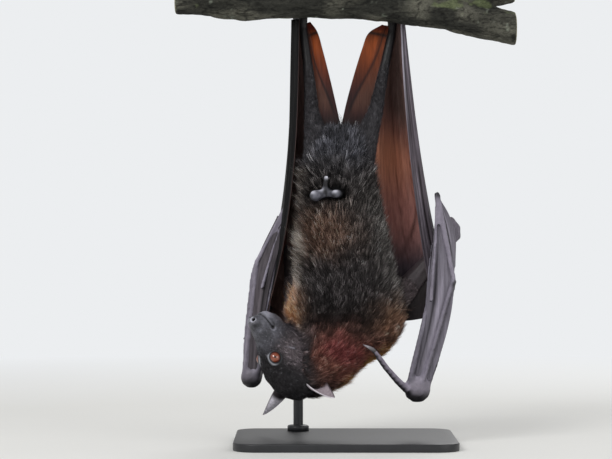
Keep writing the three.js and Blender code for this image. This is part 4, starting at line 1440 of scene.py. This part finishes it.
    def face_shades(self, tint):
        """Bare grey muzzle with painted shade behind the nostrils and along the bridge, and a painted
        highlight on the chin; dark mouth line and nostrils with painted shade in them, pale nostril rims
        partly painted highlight, painted highlights on the lip by the mouth's corner and on the lids' rims,
        dark lids and the cheek's fold.
        """
        back, up, out = self.back, self.up, np.abs(self.right)
        head = self.on_head
        mottle = ramp(noise(self.points, 5, 96) + 0.5 * noise(self.points, 1.3, 97), -0.9, 0.9)
        muzzle = paint(plain("3c3c41", len(tint)), colour("66666f"), mottle)
        bridge_shade = ramp(up, 3 + 0.25 * back, 9 + 0.25 * back) * (1 - ramp(back, 36, 52)) * ramp(back, 6, 12)
        mouth = bell(up - mouth_height(back), 0, 0.6) * (1 - ramp(back, 17.5, 20))
        corner = np.sqrt((back - 18.6) ** 2 + (up + 9.2) ** 2)
        comma_highlight = bell(corner, 3.1, 0.7) * ramp(back + 0.4 * up, 14.6, 16.2) * ramp(out, 7, 9)
        away = from_nostril(back, up, out)
        rim = bell(away, NOSTRIL["rim"] + 0.2, 0.8) * ramp(up, -1.6, 0.6)
        lid_highlight = bell(self.rho, 1.24 + 0.16 * self.brow, 0.08 + 0.14 * self.brow) * (0.1 + 0.9 * self.brow)
        return painted(
            tint,
            (muzzle, head * (1 - ramp(back, 16, 46)) * 0.92),
            # painted shade behind the nostrils
            ("19191c", head * bell(back, 7, 3.2) * bell(up, 4.6, 2.6) * ramp(out, 2, 5) * 0.9),
            # painted shade along the bridge
            ("17171a", head * bridge_shade * 0.8),
            # painted highlight on the chin
            ("9a9aa6", head * (1 - ramp(back, 6, 12)) * ramp(-up, 9.6, 12.5) * 0.85),
            # the mouth line: the lips' own dark, and painted shade in its groove
            ("131213", head * mouth * 0.75),
            # painted shade in the corner of the mouth
            ("08080a", head * (1 - ramp(corner, 1.2, 2.0)) * ramp(out, 7, 9)),
            # painted highlight on the lip by the mouth's corner
            ("9c9ca8", head * comma_highlight * 0.55),
            # pale nostril rims, partly painted highlight on their upper side
            ("bcbcc8", head * rim * 0.9),
            # painted shade in the nostrils
            ("040404", head * (1 - ramp(away, 1.6, 2.3))),
            ("0c0b0c", head * (1 - ramp(self.rho, 1.0, 1.1))),
            # painted highlight on the lids' rims, strongest on the brow's side
            ("a3a5ad", head * lid_highlight * 0.95),
            ("a29ea9", self.fold * 0.85),
        )

    def flow(self):
        """The way the hairs lie: from the nose to the tail, and down each limb."""
        lie = np.zeros_like(self.points)
        for line in guides():
            stops = np.array([curve(line, t) for t in np.linspace(0, 1, 8 * (len(line) - 1) + 1)])
            for start, end in zip(stops[:-1], stops[1:]):
                near = ((self.points - (start + end) / 2) ** 2).sum(axis=1)
                lie += unit(end - start) / ((near + 30) ** 3)[:, None]
        lie = unit(lie)
        lie = unit(lie - self.normals * (lie * self.normals).sum(axis=1)[:, None])
        return unit(soften(lie, self.edges, 12))


def guides():
    """The lines that the coat follows."""
    spine = [head_point(0, -3, 0), head_point(45, 0, 0), head_point(84, -2, 0), (-36, -10, 72), (-16, -6, 95)]
    spine += [(-1, -2, 122), (0, 0, 160), (-3, 1, 220), (-5, 3, 270), (-4, 7, 322)]
    lines = [spine]
    lines.append([(13, 3, 282), (31, 12, 333), (38, 14, 366), ANKLES["right"]])
    lines.append([(-25, 3, 282), (-33, 12, 333), (-36, 14, 366), ANKLES["left"]])
    lines += [[ARMS[side]["shoulder"], ARMS[side]["elbow"]] for side in SIDES]
    return lines


# Coat markings, and painted rim light on the left flank: place, reach, colour at the roots, colour at the
# tips, and strength.
MARKINGS = (
    ((-20, -32, 204), (24, 30, 21), "1a110d", "84685a", 0.9),  # brown middle of the belly
    ((-50, -6, 218), (9.5, 28, 74), "52463d", "ead9cc", 0.9),  # painted rim light along the edge of the left flank
    # painted rim light along the edge of the left flank, further in
    ((-42, -18, 214), (5, 22, 66), "57473b", "fff0e2", 0.85),
    ((40, -8, 215), (16, 30, 60), "0c0b0b", "74716e", 0.75),  # grizzled right flank
    ((-4, -5, 298), (45, 40, 26), "0b0b0d", "484950", 0.9),  # grey-black rump
    ((-4, 5, 330), (45, 40, 24), "0b0b0c", "2c2b2e", 0.9),  # dark crotch
    ((-4, -30, 152), (38, 26, 30), "0a0909", "4c4849", 0.9),  # black chest
    ((-4, -30, 118), (38, 26, 16), "080707", "2a2727", 0.9),  # black band over the throat
    ((43, -12, 118), (16, 34, 16), "170e0b", "8c6a56", 0.9),  # brown right shoulder
    ((-54, -8, 139), (11, 40, 14), "7c4a2a", "fab07a", 1.0),  # orange tuft on the left shoulder
    ((-4, -20, 84), (46, 40, 22), "1f110f", "926356", 1.0),  # chestnut mantle
    ((-4, -38, 91), (18, 22, 12), "2a1112", "95504f", 0.95),  # crimson glow on the side of the neck
    ((-45, -38, 106), (9, 22, 12), "160e0f", "8c7f81", 0.8),  # grizzled throat
)


def coat_colours(body):
    """The colours of the hairs at their roots and tips, for each point of the skin."""
    points = body.points + 5 * np.stack([noise(body.points, 13, seed) for seed in (91, 92, 93)], -1)
    x, y, z = points.T
    layers = []
    for centre, reach, low, high, strength in MARKINGS:
        layers.append((low, high, strength * np.clip(1.5 * blob(points, centre, reach), 0, 1)))
    side = ramp(y, -22, -4) * (1 - ramp(z, 90, 108))
    layers.append(("4c2a12", "c9924b", np.maximum(side, ramp(y, 4, 18) * (1 - ramp(z, 125, 155)))))
    for zone, low, high in (("arm", "231e20", "83777a"), ("leg", "101012", "525054")):
        layers.append((low, high, soften((body.zone == ZONE_NUMBERS[zone]).astype(float), body.edges, 12)))
    crown = (1 - ramp(x, -39, -25)) * (1 - ramp(z, 96, 112)) * (body.zone == 1)
    layers.append(("0b0b0c", "39373a", np.maximum(body.on_head, crown)))
    layers.append(("38383d", "5c5c64", body.on_head * (1 - ramp(body.back, 22, 40))))
    root = painted(plain("0f0d0c", len(points)), *((low, mask) for low, _, mask in layers))
    tip = painted(plain("4b4746", len(points)), *((high, mask) for _, high, mask in layers))
    cheek = body.on_head * bell(body.back, 46, 17) * ramp(-body.up, -10, 6)
    root = paint(root, colour("2a2628"), 0.8 * cheek)
    tip = paint(tip, colour("92868b"), 0.9 * cheek)
    return root, tip


def bat_skin(body):
    """The one skin: body, membranes and ears."""
    sheets = [cape(side) for side in SIDES] + [tail_web(side) for side in SIDES]
    sheets += [arm_web(side) for side in SIDES]
    sheets += [hand_web(side, which) for side in SIDES for which in ("palm", "tips")]
    sheets += [ear(side) for side in SIDES]
    points, faces, tint = joined([(body.points, body.faces, body.tint), *sheets])
    obj = make("skin", points, faces, tint, skin_material())
    obj.data.materials.append(membrane_material())
    index = np.zeros(len(faces), np.int32)
    index[len(body.faces) :] = 1
    obj.data.polygons.foreach_set("material_index", index)
    nodes = FLESH + [f"foot_{side}" for side in SIDES]
    nodes += [f"{part}_{side}" for part in SHEETS for side in SIDES]
    return dress(obj, "wing_skin", *nodes)


# ---- Coat ----

# Each piece of the coat: where it grows, tufts for each square millimetre, its material slot and its look.
COAT_PIECES = (
    ("coat_face", "head", (-20, 46), 9.0, "face_fur", "short"),
    ("coat_crown", "head", (46, 130), 9.0, "face_fur", "short"),
    ("coat_neck", "neck", (0, 500), 7.0, "mantle_fur", "shaggy"),
    ("coat_shoulders", "trunk", (60, 130), 5.6, "mantle_fur", "shaggy"),
    ("coat_chest", "trunk", (130, 165), 5.0, "belly_fur", "plush"),
    ("coat_belly", "trunk", (165, 205), 5.0, "belly_fur", "plush"),
    ("coat_loins", "trunk", (205, 250), 5.0, "belly_fur", "plush"),
    ("coat_rump", "trunk", (250, 400), 5.0, "belly_fur", "plush"),
    ("coat_leg_right", "leg", (0, 500), 7.0, "belly_fur", "sleek"),
    ("coat_leg_left", "leg", (0, 500), 7.0, "belly_fur", "sleek"),
    ("coat_arm_right", "arm", (0, 500), 7.0, "mantle_fur", "sleek"),
    ("coat_arm_left", "arm", (0, 500), 7.0, "mantle_fur", "sleek"),
)
MOST_TUFTS = 66000  # three triangles each, in a piece under 200,000

# Width of a tuft, size of the clumps it gathers in and how strongly, how far it rises at its root and its
# tip, how far it strays from the lie, how much the clumps differ in shade and length, and how much brighter
# pale tips are.
LOOK_KEYS = ("width", "clump", "gather", "rise", "droop", "stray", "mixed", "ragged", "pale")
LOOKS = {
    "short": (0.24, 1.2, 0.25, 0.5, 0.2, 0.35, 0.5, 0.1, 2.4),
    "sleek": (0.34, 1.6, 0.4, 0.6, 0.4, 0.3, 0.35, 0.12, 1.7),
    "plush": (0.42, 1.7, 0.5, 1.1, 0.6, 0.45, 0.75, 0.25, 3.4),
    "shaggy": (0.42, 2.4, 0.5, 0.95, 0.5, 0.4, 0.5, 0.15, 2.6),
}
PALE = {"clumps": 0.13, "tufts": 0.12}  # the share of clumps, and of tufts, with pale tips
STEEPEST = 1.45  # radians from the lie of the coat
# How unevenly clumps start, the spread of the tufts' length, rise and width, how deep their roots are sunk,
# how far they twist, how wide they still are at the middle, and how their shade varies.
TUFT = {
    "scatter": 0.35,
    "length": (0.75, 1.2),
    "rise": (0.5, 1.45),
    "width": (0.7, 1.3),
    "sunk": 0.3,
    "twist": 0.45,
    "waist": 0.8,
    "shade": 0.25,
    "dull": 0.85,
}
BLADE_FACES = np.array([[0, 1, 3], [0, 3, 2], [2, 3, 4]])
BLADE_PATCH = np.array([[-0.5, 0], [0.5, 0], [-0.4, 0.5], [0.4, 0.5], [0, 1]])
PATCH = 0.003  # a tuft's share of its piece's unwrap


def unwrapped(roots, start, end):
    """Places round and along an axis, each from 0 to 1."""
    axis = unit(end - start)
    across = unit(np.cross(axis, [0.3, 1.0, 0.2]))
    up = np.cross(axis, across)
    away = roots - start
    along = away @ axis
    turn = np.arctan2(away @ up, away @ across) / (2 * math.pi) + 0.5
    share = (along - along.min()) / max(np.ptp(along), 1e-6)
    return np.stack([turn, share], -1) * (1 - 2 * PATCH) + PATCH


def stretch_of_skin(body, name, zone, reach):
    """The faces that one piece of the coat grows on."""
    centre = body.points[body.faces].mean(axis=1)
    place = in_head(centre)[:, 0] if zone == "head" else centre[:, 2]
    chosen = body.zone[body.faces[:, 0]] == ZONE_NUMBERS[zone]
    chosen &= (place >= reach[0]) & (place < reach[1])
    if name.endswith(SIDES):
        chosen &= (centre[:, 0] > -5) == name.endswith("right")
    return body.faces[chosen]


def scattered(body, name, faces, rate, rng):
    """The number of tufts, and a function that blends values of the skin at their random roots."""
    corners = body.points[faces]
    across = np.cross(corners[:, 1] - corners[:, 0], corners[:, 2] - corners[:, 0])
    area = np.linalg.norm(across, axis=1) / 2
    total = np.cumsum(area * body.density[faces].mean(axis=1))
    wanted = int(rate * total[-1])
    count = int(min(wanted, MOST_TUFTS) * COAT_SHARE)
    print(f"{name}: {total[-1]:.0f} mm2, wanted {wanted}, made {count}")
    pick = np.searchsorted(total, rng.random(count) * total[-1])
    a, b = rng.random((2, count))
    a, b = np.where(a + b > 1, 1 - a, a), np.where(a + b > 1, 1 - b, b)
    share = np.stack([1 - a - b, a, b], -1)[..., None]
    return count, lambda values: (values[faces[pick]] * share).sum(axis=1)


def clumps_of(root, size, rng):
    """Which clump each tuft belongs to, and how many tufts each clump has."""
    cell = np.floor(root / size + TUFT["scatter"] * rng.normal(size=root.shape)).astype(np.int64)
    key = cell @ np.array([1, 5003, 25030009])
    _, clump, members = np.unique(key, return_inverse=True, return_counts=True)
    return clump.ravel(), members


def blades(body, blend, root, style, clump, members, rng):
    """Five corners for each tuft: two at its root, two at its middle, and its tip."""
    count = len(root)
    out, lie = unit(blend(body.normals)), unit(blend(body.lie))
    length = blend(body.length[:, None])[:, 0] * rng.uniform(*TUFT["length"], count)
    length *= rng.lognormal(0, style["ragged"], len(members))[clump]
    lie = unit(lie + style["stray"] * rng.normal(size=(count, 3)))
    lie = unit(lie - out * (lie * out).sum(axis=1)[:, None])
    rise = (style["rise"] * rng.uniform(*TUFT["rise"], count))[:, None]
    rise = np.minimum(rise * blend(body.stand[:, None]), STEEPEST)
    droop = style["droop"]
    half = length[:, None] / 2
    base = root - TUFT["sunk"] * out
    middle = root + half * (lie * np.cos(rise) + out * np.sin(rise))
    tip = middle + half * (lie * np.cos(droop * rise) + out * np.sin(droop * rise))

    gathered = np.stack([np.bincount(clump, tip[:, k]) / members for k in range(3)], -1)[clump]
    tip = tip + style["gather"] * (gathered - tip)
    middle = middle + 0.3 * style["gather"] * (gathered - tip)

    across = unit(np.cross(tip - base, out))
    twist = rng.normal(0, TUFT["twist"], count)[:, None]
    across = across * np.cos(twist) + out * np.sin(twist)
    width = (style["width"] * rng.uniform(*TUFT["width"], count))[:, None] / 2
    foot, waist = across * width, across * width * TUFT["waist"]
    return np.stack([base - foot, base + foot, middle - waist, middle + waist, tip], axis=1)


def blade_colours(body, blend, style, clump, members, rng):
    """Dark roots and lighter tips, some clumps and some tufts paler than the rest."""
    low, high = blend(body.root), blend(body.tip)
    pale = (rng.random(len(members)) < PALE["clumps"])[clump]
    pale |= rng.random(len(clump)) < PALE["tufts"]
    shade = rng.lognormal(0, style["mixed"], len(members))[clump]
    shade = shade * rng.lognormal(0, TUFT["shade"], len(clump))
    high = high * (shade * np.where(pale, style["pale"], TUFT["dull"]))[:, None]
    low = low * shade[:, None] ** 0.5
    between = 0.72 * low + 0.28 * high
    return np.clip(np.stack([low, low, between, between, high], axis=1), 0, 1)


def coat_piece(body, number, name, zone, reach, rate, slot, look):
    """Pointed, bent blades over one stretch of skin, gathered in clumps, as one mesh."""
    rng = np.random.default_rng(100 + number)
    count, blend = scattered(body, name, stretch_of_skin(body, name, zone, reach), rate, rng)
    style = dict(zip(LOOK_KEYS, LOOKS[look]))
    root = blend(body.points)
    clump, members = clumps_of(root, style["clump"], rng)
    points = blades(body, blend, root, style, clump, members, rng)
    tint = blade_colours(body, blend, style, clump, members, rng)
    triangle = (np.arange(count)[:, None, None] * 5 + BLADE_FACES).reshape(-1, 3)
    obj = make(name, points.reshape(-1, 3), triangle, tint.reshape(-1, 3), COATS[slot])
    unwrap = unwrapped(root, *body.axes[zone, name.endswith("left")])
    uv = (unwrap[:, None] + BLADE_PATCH * PATCH).reshape(-1, 2)[triangle.ravel()]
    layer = obj.data.uv_layers.new(name="OFBake")
    layer.data.foreach_set("uv", uv.astype(np.float32).ravel())
    return dress(obj, slot)


COATS = {
    "belly_fur": coat_material("belly_coat", 0.6),
    "mantle_fur": coat_material("mantle_coat", 0.6),
    "face_fur": coat_material("face_coat", 0.6),
}


def main():
    make_camera()
    make_studio()
    plate, post = stand_base(), stand_rod()
    dress(plate, "stand_paint", "stand_base")
    dress(post, "stand_paint", "stand_rod")
    dress(branch(), "bark", "perch")
    body = Body()
    bat_skin(body)
    for side in SIDES:
        dress(eyeball(side), "eye", f"eye_{side}")
    claws()
    for number, piece in enumerate(COAT_PIECES):
        coat_piece(body, number, *piece)


main()
